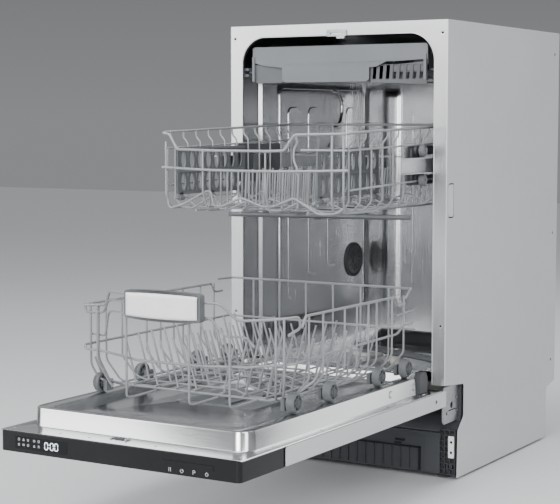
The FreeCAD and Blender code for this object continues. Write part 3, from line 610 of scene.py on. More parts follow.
def build_tub_floor(_scene):
    """The pressed floor with its rolling ledges, the filter, the salt cap and the lower arm."""
    def height(x, y):
        ledge = 201.4 - 33.4 * (1 - ease(abs(x), 148, 167))
        rise = 26 * (1 - ease(y, 14, 44)) + 30 * ease(y, 470, 504)
        dish = 2.6 * (1 - ease(math.hypot(x - 40, y - 300), 30, 130))
        return min(201.4, max(ledge, 168 + rise) - (dish if abs(x) < 150 else 0))

    make = Maker()
    make.surface(steps(-209.4, 209.4, 141), steps(14.6, 505, 150), lambda x, y: at(x, y, height(x, y)),
                 lambda x, y: math.hypot(x - 70, y - 330) > 42 and math.hypot(x, y - 255) > 13.5)
    make.piece("tub_floor_pressed", "cabinet", drawn_steel(), ["tub_floor"], thick=TUB_SHEET)

    mesh = Maker()
    holes = [disc(70, 330, 41, 40), disc(0, 255, 15, 24)]
    for column in range(9):
        for row in range(9):
            x, y = -48 + column * 20, 197 + row * 22
            if math.hypot(x - 70, y - 330) > 50 and math.hypot(x, y - 255) > 24:
                holes.append(disc(x, y, 2.6, 10))
    mesh.plate(rounded(-60, 130, 185, 395, 18), holes, lambda x, y, depth: at(x, y, 168.4 + depth), 1.0)
    mesh.piece("filter_mesh_perforated", "cabinet", brushed_steel(), ["filter_mesh_plate"])

    sieve = Maker()
    centre = at(70, 330, 128)
    sieve.turned([(0, 0), (36, 0), (38, 4), (38, 44), (36, 46), (30, 47), (28, 44), (0, 43)], centre,
                 (0, 0, 1), 40)
    sieve.box(52, 88, 326.5, 333.5, 171, 181)
    for index in range(20):
        angle = math.tau * index / 20
        out = Vector((math.cos(angle), math.sin(angle), 0))
        sieve.strip(centre + out * 0.0378 + Vector((0, 0, 0.006)),
                    centre + out * 0.0378 + Vector((0, 0, 0.040)), 2.0, 1.6, out)
    sieve.piece("filter_cylinder_moulded", "filter_cylinder", grey_polypropylene(),
                ["filter_cylinder"], bevel=0.8)

    cap = Maker()
    centre = at(-105, 330, 168.4)
    cap.turned([(0, 9), (9, 9), (11, 7.6), (27, 7.2), (29, 8), (31, 7), (32, 4), (32, 0), (0, 0)], centre,
               (0, 0, 1), 40)
    cap.box(-124, -86, 326.5, 333.5, 175, 181.5)
    for index in range(16):
        angle = math.tau * index / 16
        out = Vector((math.cos(angle), math.sin(angle), 0))
        cap.strip(centre + out * 0.0312 + Vector((0, 0, 0.001)),
                  centre + out * 0.0312 + Vector((0, 0, 0.0065)), 3.0, 1.6, out)
    cap.piece("salt_cap_moulded", "salt_cap", white_abs(), ["salt_cap"], bevel=0.6)


def bulb_run(half, top, corner, low, y):
    """The arch that the tub seal follows, from the lower left to the lower right."""
    route = [at(-half, y, low), at(-half, y, top - corner)]
    for index in range(1, 16):
        angle = math.radians(180 - 90 * index / 16)
        route.append(at(-half + corner + corner * math.cos(angle), y,
                        top - corner + corner * math.sin(angle)))
    return route + mirrored(route)


def build_seal(scene):
    """The moulded door seal: a hollow-looking bulb and its fixing foot."""
    sizes = scene.dishwasher_sizes
    runs = [(bulb_run(204.6, 805.4, 56, 206, 5.5), 1.0, False),
            (bulb_run(206.6, 806, 58, 206, 10), 0.62, False),
            (bulb_run(203, 803.6, 54.5, 206, 9.0), 0.5, False)]
    wires("door_seal_bulb", runs, "cabinet", epdm_rubber(), ["door_seal"],
          radius=sizes.seal_radius * 1000, bend=1, sides=4)


def build_outer_back(_scene):
    """The back and top sheet with its stiffening beads, screws, and the hose and cable inlets."""
    dress(coated_sheet(), "back_and_top_cover")
    deep = SHEET_HIGH[1] * 1000 - FACE
    beads = []
    for z0, z1 in ((190, 470), (510, 790)):
        beads.append(([at(-180, deep, z0), at(180, deep, z1)], 1, False))
        beads.append(([at(-180, deep, z1), at(180, deep, z0)], 1, False))
    beads.append(([at(-205, deep, 175), at(205, deep, 175), at(205, deep, 805), at(-205, deep, 805),
                   at(-205, deep, 175)], 0.8, False))
    for x in (-120, 0, 120):
        beads.append(([at(x, 60, TALL - 0.4), at(x, 480, TALL - 0.4)], 0.8, False))
    wires("back_sheet_beads", beads, "cabinet", coated_sheet(), radius=1.6, bend=20,
          sides=3)
    screws = Maker()
    for x, levels in ((-214, (140, 480, 812)), (-70, (812,)), (70, (812,)), (214, (140, 480, 812))):
        for z in levels:
            centre = at(x, deep + 0.1, z)
            screws.turned([(0, 1.5), (1.2, 1.5), (1.4, 1.9), (3.2, 1.5), (3.8, 0.7), (3.8, 0)], centre,
                          (0, 1, 0), 18)
    screws.piece("back_sheet_screws", "cabinet", zinc_steel())

    make = Maker()
    make.box(-190, -140, 489.5, deep - 4.5, 123.5, 162.5)
    thread = [(10, 17), (12, 17)]
    for index in range(7):
        thread += [(13.2, 15.4 - index * 2), (12.2, 14.4 - index * 2)]
    thread += [(13, 0.5), (15.5, 0.5), (15.5, -6)]
    make.turned(thread, at(-165, deep - 5, 143), (0, 1, 0), 32)
    spigot = [(7.5, 30), (9.2, 30), (10, 26), (8.8, 25.6), (8.8, 21), (10, 17), (8.8, 16.6), (8.8, 6),
              (16, 5), (16, -4)]
    make.turned(spigot, at(150, deep - 18, 143), (0, 1, 0), 28)
    make.turned([(7.5, 30), (7.5, 8), (0, 8)], at(150, deep - 18, 143), (0, 1, 0), 28)
    gland = [(0, 15), (4, 15), (4.2, 18), (7, 18), (8.6, 15), (9, 9), (10.5, 8.4), (10.5, 6), (14, 5.4),
             (14, -1)]
    make.turned(gland, at(60, deep - 10, 143), (0, 1, 0), 28)
    make.piece("rear_connections_moulded", "cabinet", base_polypropylene(),
               ["rear_connections"], bevel=0.3)


def build_base(_scene):
    """Base tray, ribbed plinth with its end towers, the shelf above it, and the levelling feet."""
    dress(base_polypropylene(), "base_tray")
    front = PLINTH_FRONT
    make = Maker()
    make.box(-190, 190, front + 2, front + 6, 8, 80)
    make.box(-219, 219, front + 5, 120, 80, 83)
    make.box(-192, 192, front, front + 4, 74, 83)
    for sign in (-1, 1):
        make.box(*sorted((sign * 160, sign * 190)), front, front + 4, 8, 75)
        make.add([at(sign * 190, front + 2, 83), at(sign * 220, front + 2, 83), at(sign * 220, 84, 110),
                  at(sign * 190, 84, 110), at(sign * 190, front + 4, 80), at(sign * 220, front + 4, 80),
                  at(sign * 220, 88, 108), at(sign * 190, 88, 108)],
                 [(0, 1, 2, 3), (4, 7, 6, 5), (0, 4, 5, 1), (1, 5, 6, 2), (2, 6, 7, 3), (3, 7, 4, 0)])
        make.box(*sorted((sign * 206, sign * 220)), 76, 84, 104, 172)
    for x in steps(-146, 146, 17):
        make.box(x - 1.3, x + 1.3, front - 0.4, front + 3, 12, 50)
    # black boxes set proud of the plinth front as painted shade: they stand for the shadowed gaps round the
    # ribbed panel and the dark slots beside it
    gaps = Maker()
    for x0, x1, z0, z1 in ((-151, -147, 9, 54), (147, 151, 9, 54), (-151, 151, 51, 54), (100, 118, 61, 65),
                           (98, 112, 56, 58.5)):
        gaps.box(x0, x1, front - 0.5, front + 2.5, z0, z1)
    gaps.piece("plinth_dark_joints", "cabinet", black_abs(), bevel=0.3)
    for sign in (-1, 1):
        x0, x1 = sorted((sign * 190, sign * 220))
        make.box(x0, x1, front + 6, front + 9, 8, 92)
        for x in steps(x0, x1, 4):
            make.box(x - 0.8 if x > x0 else x, x + 0.8 if x < x1 else x, front - 1, front + 7, 8, 92)
        for z in steps(8, 90, 9):
            make.box(x0, x1, front - 1, front + 7, z, z + 1.6)
        make.turned([(3, -1), (6, -1), (6, 6), (3, 6), (3, -1)], at(sign * 209, front, 24), (0, 1, 0), 20)
    make.piece("plinth_moulded", "cabinet", base_polypropylene(), ["plinth_front"],
               bevel=0.3, sides=1)
    # the base cover uses the lighter grey plastic as painted light: it is lighter than the base plastic to
    # stand in for the light that the sloping cover catches
    cover = Maker()
    cover.add([at(x, y, z) for x in (-205, 205)
               for y, z in ((60, 83.4), (104, 105), (204, 110.6), (204, 113), (103, 107.4), (58, 85.6))],
              [(0, 1, 7, 6), (1, 2, 8, 7), (2, 3, 9, 8), (3, 4, 10, 9), (4, 5, 11, 10), (5, 0, 6, 11),
               (0, 5, 4, 1), (1, 4, 3, 2), (6, 7, 10, 11), (7, 8, 9, 10)])
    cover.piece("base_cover_moulded", "cabinet", grey_polypropylene(), bevel=0.4)
    label = Maker()
    for sign in (-1, 1):
        x0, x1 = sorted((sign * 208, sign * 219))
        label.plate(rounded(x0, x1, 40, 80, 1.5), [disc((x0 + x1) / 2, z, 2.6, 14) for z in (50, 69)],
                    lambda x, z, depth: at(x, front - 2.4 + depth, z), 1.2)
    label.piece("tower_clip_plates", "cabinet", white_abs())
    make = Maker()
    for x in (-190, 190):
        for y in (80, 457):
            centre = at(x, y, 0)
            make.turned([(0, 0), (15.5, 0), (17, 1.2), (17, 3.2), (15, 4.4), (12, 5), (10.5, 5.4),
                         (10.5, 7.6), (0, 7.6)],
                        centre, (0, 0, 1), 36)
            for index in range(6):
                angle = math.tau * index / 6
                out = Vector((math.cos(angle), math.sin(angle), 0))
                make.strip(centre + out * 0.006 + Vector((0, 0, 0.0062)),
                           centre + out * 0.0112 + Vector((0, 0, 0.0062)), 5, 2.4, (0, 0, 1))
    make.piece("levelling_feet_moulded", "cabinet", epdm_rubber(), ["levelling_feet"])


def build_works(_scene):
    """Finishes for the hidden pumps, tanks, ballast and board."""
    dress(natural_polypropylene(), "sump", "circulation_pump", "drain_pump", "water_softener",
          "air_break_chamber")
    dress(cast_iron(), "ballast")
    dress(laminate(), "control_board")
    dress(grey_polypropylene(), "tub_rails", "upper_feed_tube", "wheel_holders")
    dress(zinc_steel(), "telescopic_rails")


def build_hinges(_scene):
    """Hinge brackets, arms and coil springs."""
    make = Maker()
    outline = [(-22, 146), (-24, 149), (-24, 163), (-21, 166), (10, 166), (13, 170), (17, 174),
               (107, 174), (111, 170), (111, 112), (106, 107), (18, 107), (12, 113), (12, 142), (8, 146)]
    holes = [disc(30, 125, 3.2, 16), disc(70, 125, 3.2, 16), disc(70, 150, 3.2, 16), disc(50, 138, 6, 20)]
    for sign in (-1, 1):
        make.plate(outline, holes, lambda y, z, depth, sign=sign: at(sign * (212.5 + depth), y, z), 2.0)
        make.turned([(0, 0), (4, 0), (4, 8.6), (3.2, 9.3), (0, 9.3)], at(sign * 210, HINGE_Y, HINGE_Z),
                    (sign, 0, 0), 24)
    make.piece("hinge_brackets_pressed", "cabinet", zinc_steel(), ["hinge_brackets"],
               bevel=0.3)
    make = Maker()
    arm = [(-148, 150), (-150, 153), (-150, 166), (-147, 169), (-8, 169), (-2, 163), (-2, 154), (-7, 148),
           (-30, 148)]
    for sign in (-1, 1):
        make.plate(arm, [disc(HINGE_Y, HINGE_Z, 4.1, 24), rounded(-120, -60, 156, 163, 3)],
                   lambda y, z, depth, sign=sign: at(sign * (216.3 + depth), y, z), 2.0)
    make.piece("hinge_arms_pressed", "door", zinc_steel(), ["hinge_arms"], bevel=0.3)
    coils = []
    for sign in (-1, 1):
        turns, start, reach = 26, 118, 102
        route = []
        for index in range(turns * 14 + 1):
            angle = math.tau * index / 14
            y = start + reach * index / (turns * 14)
            route.append(at(sign * 206 + 7.6 * math.cos(angle), y, 102 + 7.6 * math.sin(angle)))
        coils.append((route, 1, False))
    wires("hinge_coil_springs", coils, "cabinet", zinc_steel(), ["hinge_springs"],
          radius=1.2, bend=0.5, sides=2)


# --------------------------------------------------------------------- door
def build_door_pan(_scene):
    """The stainless inner pan lofted from flange to dispenser bed, and its small fittings."""
    make = Maker()
    make.loops([
        (-221.4, 221.4, -663.5, -6.2, 2.0, 171.0), (-221.4, 221.4, -664.0, -6.0, 2.0, 172.2),
        (-221.0, 221.0, -663.6, -6.4, 2.0, 172.6), (-202.6, 202.6, -620.6, -12.6, 27.6, 172.4),
        (-201.0, 201.0, -619.0, -13.6, 26.0, 172.9), (-200.3, 200.3, -618.3, -14.0, 25.3, 174.0),
        (-199.6, 199.6, -617.6, -14.4, 24.6, 199.4), (-199.0, 199.0, -617.0, -15.0, 24.0, 201.0),
        (-197.6, 197.6, -615.6, -16.4, 22.6, 201.7), (-177.0, 177.0, -606.6, -33.0, 16.0, 202.0),
        (-174.6, 174.6, -604.6, -35.4, 15.0, 201.0), (-173.6, 173.6, -603.4, -36.4, 14.0, 199.0),
        (-168.0, 168.0, -597.0, -42.0, 11.0, 181.2), (-166.6, 166.6, -595.4, -43.4, 9.6, 179.6),
        (-158.0, 158.0, -561.0, -48.0, 9.0, 177.0), (-156.6, 156.6, -559.4, -49.6, 8.0, 177.8),
        (-152.6, 152.6, -554.0, -54.0, 6.0, 188.8), (-151.0, 151.0, -552.0, -56.0, 5.0, 190.0),
        (-118.0, 118.0, -500.0, -90.0, 6.0, 188.0), (-80.0, 80.0, -404.0, -246.0, 6.0, 187.6),
        (-76.2, 76.2, -400.2, -249.8, 4.0, 186.0)])
    make.piece("door_pan_pressed", "door", pressed_steel(), ["door_inner_pan"], thick=0.7)
    seam = Maker()
    for x in (-211, 211):
        for y in (-560, -420, -290, -160, -60):
            seam.turned([(0, 1.0), (1.0, 1.0), (1.3, 1.4), (2.4, 1.0), (2.9, 0.4), (2.9, 0)],
                        at(x, y, 172.4), (0, 0, 1), 16)
    for x in (-208, -118, -62, 60, 96, 208):
        seam.turned([(0, 0.4), (1.2, 0.4), (1.5, 0.8), (2.2, 0.6), (2.4, 0)], at(x, -646, 172.4), (0, 0, 1),
                    14)
    seam.piece("door_flange_screws", "door", zinc_steel())
    lip = Maker()
    for y0, y1, z0, z1 in ((-13.5, -10.5, 173, 198), (-10.5, -7.2, 176, 188)):
        lip.box(-195.6, 195.6, y0, y1, z0, z1)
    for sign in (-1, 1):
        x0, x1 = sorted((sign * 194, sign * 205))
        lip.plate([(-62, 173), (-64, 205), (-58, 210.5), (-36, 209), (-31, 200), (-31, 173)], [],
                  lambda y, z, depth, x0=x0: at(x0 + depth, y, z), x1 - x0)
    lip.piece("door_bottom_lip", "door", epdm_rubber(), ["door_bottom_seal"], bevel=1.2)
    hooks = []
    for sign in (-1, 1):
        for y in (-164, -77):
            arc = [at(sign * 200.7, y + 5.0 * math.cos(a), 188 + 5.6 * math.sin(a)) for a in steps(0.9, 5.2,
                    12)]
            hooks.append((arc, 1, False))
    wires("pan_side_hooks", hooks, "door", zinc_steel(), radius=0.9, bend=0.5, sides=2)
    latch = Maker()
    latch.plate(rounded(-29.6, 1.6, 145.5, 173.6, 2), [rounded(-20, -8, 158, 170, 1.5)],
                lambda x, z, depth: at(x, -637.6 + depth, z), 9.2)
    latch.box(-22, -6, -636, -630, 172.5, 175.4)
    latch.piece("door_latch_moulded", "door", dark_polypropylene(), ["door_latch"],
                bevel=0.5)
    hook = Maker()
    hook.box(-1.5, 1.5, -640, -628, 173, 176.2)
    hook.box(-29, -25.5, -640, -628, 173, 175)
    hook.piece("latch_keeper", "door", zinc_steel(), bevel=0.4)


def build_door_sheet(_scene):
    """The outer door sheet, folded up at both sides, with its fixing holes."""
    make = Maker()
    holes = [disc(sign * 150, y, 2.6, 14) for sign in (-1, 1) for y in (-480, -120)]
    make.plate([(-219.8, -544.7), (219.8, -544.7), (219.8, 10), (-219.8, 10)], holes,
               lambda x, y, depth: at(x, y, 141 + depth), 0.8)
    for sign in (-1, 1):
        make.plate([(-544.7, 142.4), (10, 142.4), (10, 168), (6, 170.6), (-542, 170.6), (-544.7, 168)],
                   [disc(-30, 156, 3.4, 16)],
                   lambda y, z, depth, sign=sign: at(sign * (222 - depth), y, z), 0.8)
        for angle in range(4):
            a, b = math.radians(22.5 * angle), math.radians(22.5 * (angle + 1))
            corners = [at(sign * (219.8 + 2.2 * math.sin(a)), y, 143.2 - 2.2 * math.cos(a))
                       for y in (-544.7, 10)]
            corners += [at(sign * (219.8 + 2.2 * math.sin(b)), y, 143.2 - 2.2 * math.cos(b))
                        for y in (10, -544.7)]
            make.add(corners, [(0, 1, 2, 3)])
    make.piece("door_outer_folded", "door", coated_sheet(), ["door_outer_panel"])


SEGMENTS = {"a": (0, 1, 1, 1), "b": (1, 1, 1, 0.5), "c": (1, 0.5, 1, 0), "d": (0, 0, 1, 0),
            "e": (0, 0.5, 0, 0), "f": (0, 1, 0, 0.5), "g": (0, 0.5, 1, 0.5)}


def build_fascia(_scene):
    """The black control fascia with its window, lit figures, plain icons and touch keys."""
    make = Maker()
    front, back, wide, curve = -667, -641, 219.8, 8
    plan = [(-wide, -545)]
    for middle, start in ((-wide + curve, 180), (wide - curve, 270)):
        for index in range(9):
            angle = math.radians(start + 90 * index / 8)
            plan.append((middle + curve * math.cos(angle), front + curve + curve * math.sin(angle)))
    plan += [(wide, -545), (wide - 2.6, -545), (wide - 2.6, back), (-wide + 2.6, back), (-wide + 2.6, -545)]
    make.plate(plan, [], lambda x, y, depth: at(x, y, 140.6 + depth), 31.0)
    make.box(-wide + 2, wide - 2, back - 1, -545.4, 141, 143)
    make.piece("fascia_moulded", "door", black_abs(), ["control_fascia"], bevel=0.7)
    pane = Maker()
    pane.plate(rounded(-190, -88, 146.5, 166.5, 2), [],
               lambda x, z, depth: at(x, front - 0.25 + depth, z), 1.2)
    pane.piece("display_pane", "door", tinted_acrylic(), ["display_window"], bevel=0.2)

    face = front - 0.4

    def stroke(maker, x0, z0, x1, z1, wide=0.8):
        maker.strip(at(x0, face, z0), at(x1, face, z1), wide, 0.3, (0, 1, 0))

    lit = Maker()
    for left in (-131.5, -120.5, -112.0):
        for name in "abcdef":
            u0, v0, u1, v1 = SEGMENTS[name]
            u_gap, v_gap = (0.7, 0) if v0 == v1 else (0, 0.7)
            stroke(lit, left + 5.8 * u0 + u_gap, 150.6 + 10.6 * v0 - v_gap, left + 5.8 * u1 - u_gap,
                   150.6 + 10.6 * v1 + v_gap, 1.15)
    for z in (153.6, 158.2):
        stroke(lit, -123.6, z, -122.4, z, 1.2)
    lit.piece("display_figures", "door", lit_white())

    ink = Maker()

    def ring(x, z, radius, first=0, last=12):
        for index in range(first, last):
            a, b = math.tau * index / 12 + 1.57, math.tau * (index + 1) / 12 + 1.57
            stroke(ink, x + radius * math.cos(a), z + radius * math.sin(a), x + radius * math.cos(b),
                   z + radius * math.sin(b), 0.7)

    for column, x in enumerate((-182, -173, -164, -152, -143)):
        for row, z in enumerate((161.2, 153.2)):
            kind = (column + 2 * row) % 4
            if kind == 0:
                ring(x, z, 1.8)
            elif kind == 1:
                stroke(ink, x - 1.8, z - 1.6, x + 1.8, z - 1.6)
                stroke(ink, x - 1.8, z - 1.6, x, z + 1.8)
                stroke(ink, x + 1.8, z - 1.6, x, z + 1.8)
            elif kind == 2:
                for step in (-1.4, 0, 1.4):
                    stroke(ink, x - 1.9, z + step, x + 1.9, z + step, 0.6)
            else:
                for step in (-1.6, 0, 1.6):
                    stroke(ink, x + step, z - 1.8, x + step, z + 1.8, 0.6)
    for shift in (-1.5, 1.5):
        stroke(ink, 100 + shift, 144.6, 100 + shift, 150.4)
    ring(121, 147.4, 2.6, 1, 12)
    stroke(ink, 121, 147.4, 123.4, 149.6)
    stroke(ink, 140.4, 144.4, 140.4, 150.4)
    for a, b in (((140.4, 150.2), (144, 150.2)), ((144, 150.2), (144, 147.4)),
                 ((144, 147.4), (140.4, 147.4))):
        stroke(ink, *a, *b)
    ring(164, 147.2, 2.4, 1, 11)
    stroke(ink, 164, 148, 164, 150.8)
    ink.piece("fascia_printing", "door", printed_ink())
    shade = Maker()
    stroke(shade, 88, 160.5, 176, 160.5, 0.8)
    shade.box(173.5, 176.5, face, face + 0.3, 153, 158.5)
    for x in (-186, -134):
        stroke(shade, x, 149.5, x, 164.5, 0.5)
    shade.piece("fascia_sensor_lines", "door", tinted_acrylic())


def build_dispenser(_scene):
    """Detergent dispenser in the door pan with its sliding lid and rinse-aid cap."""
    make = Maker()
    cap_hole = disc(40, -278, 20.4, 32)
    make.plate(rounded(-75.4, 75.4, -399.4, -250.6, 10), [rounded(-65.4, 66, -385.6, -304, 6), cap_hole],
               lambda x, y, depth: at(x, y, 188.6 - depth), 2.4)
    make.plate(rounded(-75.4, 75.4, -399.4, -250.6, 10), [rounded(-60, 10, -380, -310, 8), cap_hole],
               lambda x, y, depth: at(x, y, 186.2 - depth), 28)
    make.box(-62, 12, -382, -308, 158, 170)
    make.turned([(0, 0), (20.4, 0), (20.4, 1)], at(40, -278, 178), (0, 0, 1), 32)
    make.piece("dispenser_moulded", "door", grey_polypropylene(), ["detergent_dispenser"],
               bevel=1.0)
    lid = Maker()
    lid.plate(rounded(-64.6, 14.6, -385, -304.8, 6), [], lambda x, y, depth: at(x, y, 186.6 + depth), 2.8)
    lid.plate(rounded(-42, -8, -354, -337, 7), [], lambda x, y, depth: at(x, y, 189.2 + depth), 4.4)
    lid.piece("dispenser_lid_moulded", "dispenser_lid", grey_polypropylene(),
              ["dispenser_lid"], bevel=1.2, sides=3)
    cap = Maker()
    cap.turned([(0, 8.8), (13, 8.8), (15, 8), (19, 6), (20, 4.5), (20, 0), (0, 0)], at(40, -278, 180.6),
               (0, 0, 1), 36)
    cap.plate(rounded(36, 44, -292, -264, 3.5), [], lambda x, y, depth: at(x, y, 188.6 + depth), 5.2)
    cap.piece("rinse_cap_moulded", "rinse_aid_cap", dark_polypropylene(), ["rinse_aid_cap"],
              bevel=0.8)


# ------------------------------------------------------------ lower basket
def bow(x, corner_y, nose_y, half):
    """Depth of a bowed basket front at x: straight in the middle, swept back to the corners."""
    return corner_y - (corner_y - nose_y) * (1 - ease(abs(x), half * 0.35, half))


def build_lower_basket(scene):
    """The lower basket: jogged rims, bowed front, floor ring, bent cross wires and leaning tines."""
    sizes = scene.dishwasher_sizes
    half, corner, nose, rear = 193.0, -473.0, -528.0, -57.0
    rim, hoop, floor, foot = 350.0, 279.0, 216.0, 160.0
    runs = []

    def run(points, factor=1):
        """Adds one wire, thicker where factor is above 1."""
        runs.append((points, factor, False))

    def front_y(x):
        return bow(x, corner, nose, half)

    def front_run(pairs, shift=0.0):
        return [at(x, front_y(x) + shift, z) for x, z in pairs]

    # upper rim: along the left, over the handle, down again and back along the right
    ear = [at(-195.5, corner - 13, rim), at(-189, corner - 20, rim)]
    run([at(-half, -118, rim)] + ear + front_run(
        [(-168, rim), (-152, rim + 1), (-136, 376), (-66, 377)]), 1.3)
    run(front_run([(66, 373), (92, 372), (116, 346), (150, 347), (180, 350)]) +
                 [at(half, corner + 16, 352), at(half, corner + 20, 334), at(half - 3, corner - 10, 326)],
                 1.3)
    run([at(half, corner + 24, 334), at(half, corner + 36, rim + 1), at(half, -136, rim),
         at(half, -126, 334), at(half, -100, 336)], 1.3)
    run([at(-half, -118, rim), at(-half, -106, 334), at(-half, -80, 334)], 1.2)
    run([at(-half, -96, 357), at(-half + 8, rear, 357), at(half - 8, rear, 357), at(half, -80, 357),
         at(half, -96, 344)], 1.2)
    # second rim under the handle
    run([at(-194, corner - 12, rim - 2), at(-190, corner - 16, 338)] + front_run([(-160, 338), (-142, 362),
            (-66, 364)], 2), 1.1)
    run(front_run([(66, 350), (78, 348), (98, 322), (126, 321), (136, 306)], 2), 1.1)
    run(front_run([(-half, 300), (-158, 300), (-146, 340), (-132, 344), (-66, 346)], 4))
    run([at(half, -128, 318), at(half, rear - 6, 320)])
    # middle hoop
    run([at(-half, rear + 4, 286), at(-195.5, corner - 12, 284), at(-192, corner - 16, 278)] + front_run(
        [(-150, 276), (-60, 275), (60, 275), (128, 275), (170, 278)]) +
        [at(half, corner + 8, 281), at(half, corner + 30, 283), at(half, -128, 286), at(half, -104, 298),
         at(half, -70, 298)], 1.25)
    run([at(half, corner + 26, 296), at(half, corner + 38, 284)], 1.1)
    run([at(-half, rear, 286), at(half, rear, 286)], 1.1)
    # floor ring
    ring = [at(-half + 6, corner + 4, 262), at(-half + 8, corner + 22, 226),
            at(-half + 30, corner + 32, floor), at(130, corner + 34, floor - 2),
            at(foot, corner + 60, floor + 6), at(foot + 18, corner + 92, floor + 26),
            at(half, corner + 100, hoop)]
    run(ring, 1.25)
    for x in (-foot, foot):
        run([at(x, corner + 30, floor + 1), at(x, rear - 8, floor + 1)], 1.1)

    for y in (-430, -386, -316, -275, -235, -206, -150, -106):
        left = [at(-half - 1.5, y, rim), at(-half - 1.5, y, 252), at(-foot - 6, y, floor + 5),
                at(-foot + 14, y, floor)]
        dip = [at(-90, y, floor - 1), at(-60, y, floor + 8), at(60, y, floor + 8), at(90, y, floor - 1)]
        right = mirrored(left)
        run(left + dip + right)
    for x in (-80, 40, 106):
        line = front_y(x)
        run([at(x, line - 1.5, 344), at(x, line - 1.5, floor - 1), at(x + 2, line + 10, floor - 3),
             at(x + 2, line + 74, floor - 2)], 1.15)
    for x in (-173, 166, 178):
        line = front_y(x)
        run([at(x, line - 1.5, rim), at(x, line - 1.5, 262), at(x * 0.94, line + 14, floor + 8),
             at(x * 0.88, line + 40, floor)], 1.15)
    run([at(-half, corner, rim), at(-half, corner, 250), at(-half + 10, corner + 6, 228),
         at(-half + 34, corner + 16, floor)], 1.15)
    run([at(-165, -492, rim), at(-165, -492, 262), at(-158, -484, 240), at(-152, -470, floor)], 1.0)
    for x in steps(-140, 140, 6):
        run([at(x, rear + 1.5, 357), at(x, rear + 1.5, 236), at(x, rear - 26, floor - 2),
             at(x, corner + 40, floor - 2)])
    for row, x in enumerate((-128, -84, -44, -8, 44, 84, 124)):
        lean = -22 if row < 4 else 20
        run([at(x, -446, floor + 3), at(x, -92, floor + 3)])
        for y in steps(-438, -106, 10):
            tip = sizes.lower_tine * 1000 * (0.86 if row % 2 else 1.0)
            run([at(x, y, floor + 2), at(x + lean * 0.3, y, floor + 2 + tip * 0.35),
                 at(x + lean, y, floor + 2 + tip)])
    wires("lower_basket_wires", runs, "lower_basket_body", coated_wire(), ["lower_basket"],
          radius=sizes.wire_radius * 1000, bend=7, sides=2)


def build_handle(scene):
    """The white bowed grip plate in its grey frame."""
    sizes = scene.dishwasher_sizes
    half, middle, y = sizes.handle_wide * 500, 365.0, -545
    x0, x1, z0, z1 = -half, half, middle - sizes.handle_tall * 500, middle + sizes.handle_tall * 500

    def swell(x, z, out):
        """A point of the plate: it bows forward and grows taller towards the middle."""
        across = 1 - (x / half) ** 2
        return at(x, y - 4.2 * across + out, z + 2.4 * across * (z - middle) / (z1 - middle))

    def edges(inset, radius):
        """A rounded outline with points along its long edges, so that it can bow."""
        corners = rounded(x0 + inset, x1 - inset, z0 + inset, z1 - inset, radius)
        span = steps(x1 - inset - radius, x0 + inset + radius, 13)[1:-1]
        return corners[:7] + [(x, z1 - inset) for x in span] + corners[7:21] + [(-x,
                z0 + inset) for x in span] + corners[21:]

    make = Maker()
    make.plate(edges(0, 5), [edges(4, 3)], lambda x, z, depth: swell(x, z, depth), 13)
    make.plate(edges(3.5, 3), [], lambda x, z, depth: swell(x, z, 10 + depth), 3)
    for x in (-60, 60):
        make.box(x - 4, x + 4, y + 8, y + 17, 352, 378)
    make.piece("handle_frame_moulded", "lower_basket_body", grey_polypropylene(),
               ["handle_frame"], bevel=0.7)
    plate = Maker()
    columns, rows = steps(x0 + 4.6, x1 - 4.6, 41), steps(z0 + 4.4, z1 - 4.4, 17)

    def grip(x, z):
        edge = min(ease(x1 - 4.6 - abs(x), 0, 3.5), ease(z - z0 - 4.4, 0, 3), ease(z1 - 4.4 - z, 0, 3))
        return swell(x, z, -0.6 - 1.6 * edge)

    plate.surface(columns, rows, grip)
    plate.piece("handle_plate_moulded", "lower_basket_body", white_abs(), ["handle_plate"],
                thick=2.0)


def wheel(make, centre, side, radius, wide, bore, spokes=6):
    """One moulded wheel: tread, dished web with spokes and a hub."""
    axis = Vector((side, 0, 0))
    half = wide / 2
    face = radius * 0.82
    make.turned([(radius - 4.6, -half), (radius - 1.2, -half), (radius, -half + 1.2),
                 (radius, -half + wide * 0.34), (radius - 0.6, -half + wide * 0.4),
                 (radius - 1.4, half - 2.6), (face, half - 0.8), (face - 0.8, half), (face - 2.0, half),
                 (face - 2.4, half - 0.6), (radius - 4.6, -half)], centre, axis, 40)
    make.turned([(bore, -half), (bore + 2.6, -half), (bore + 2.6, half + 0.3), (bore, half + 0.3),
                 (bore, -half)], centre, axis, 24)
    make.turned([(bore + 2, -0.8), (face - 1.6, -0.8), (face - 1.6, 0.8), (bore + 2, 0.8),
                 (bore + 2, -0.8)], centre, axis, 32)
    for index in range(spokes):
        angle = math.tau * index / spokes
        out = Vector((0, math.cos(angle), math.sin(angle)))
        make.strip(centre + out * (bore + 2) / 1000, centre + out * (face - 2) / 1000, wide - 2.8, 2.0,
                   out.cross(axis))


def build_wheels(_scene):
    """Eight lower basket wheels and the caps that hold them."""
    for side, sign in SIDES:
        for index in range(1, 5):
            node = "lower_wheel_%s_%d" % (side, index)
            low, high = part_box(node)
            centre = Vector([(a + b) / 2 for a, b in zip(low, high)])
            make = Maker()
            wheel(make, centre, sign, 17, 13, 3.6)
            make.piece(node + "_spoked", node, grey_polypropylene(), [node])
    caps = Maker()
    low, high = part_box("wheel_holders")
    for side, sign in SIDES:
        for index in range(1, 5):
            first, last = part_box("lower_wheel_%s_%d" % (side, index))
            centre = Vector(((high[0] if sign > 0 else low[0]), (first[1] + last[1]) / 2,
                             (first[2] + last[2]) / 2))
            caps.turned([(0, 1.4), (4, 1.4), (5.2, 0.4), (5.2, -0.6), (3.5, -0.6)], centre, (sign, 0, 0),
                        20)
    caps.piece("wheel_axle_caps", "lower_basket_body", dark_polypropylene())


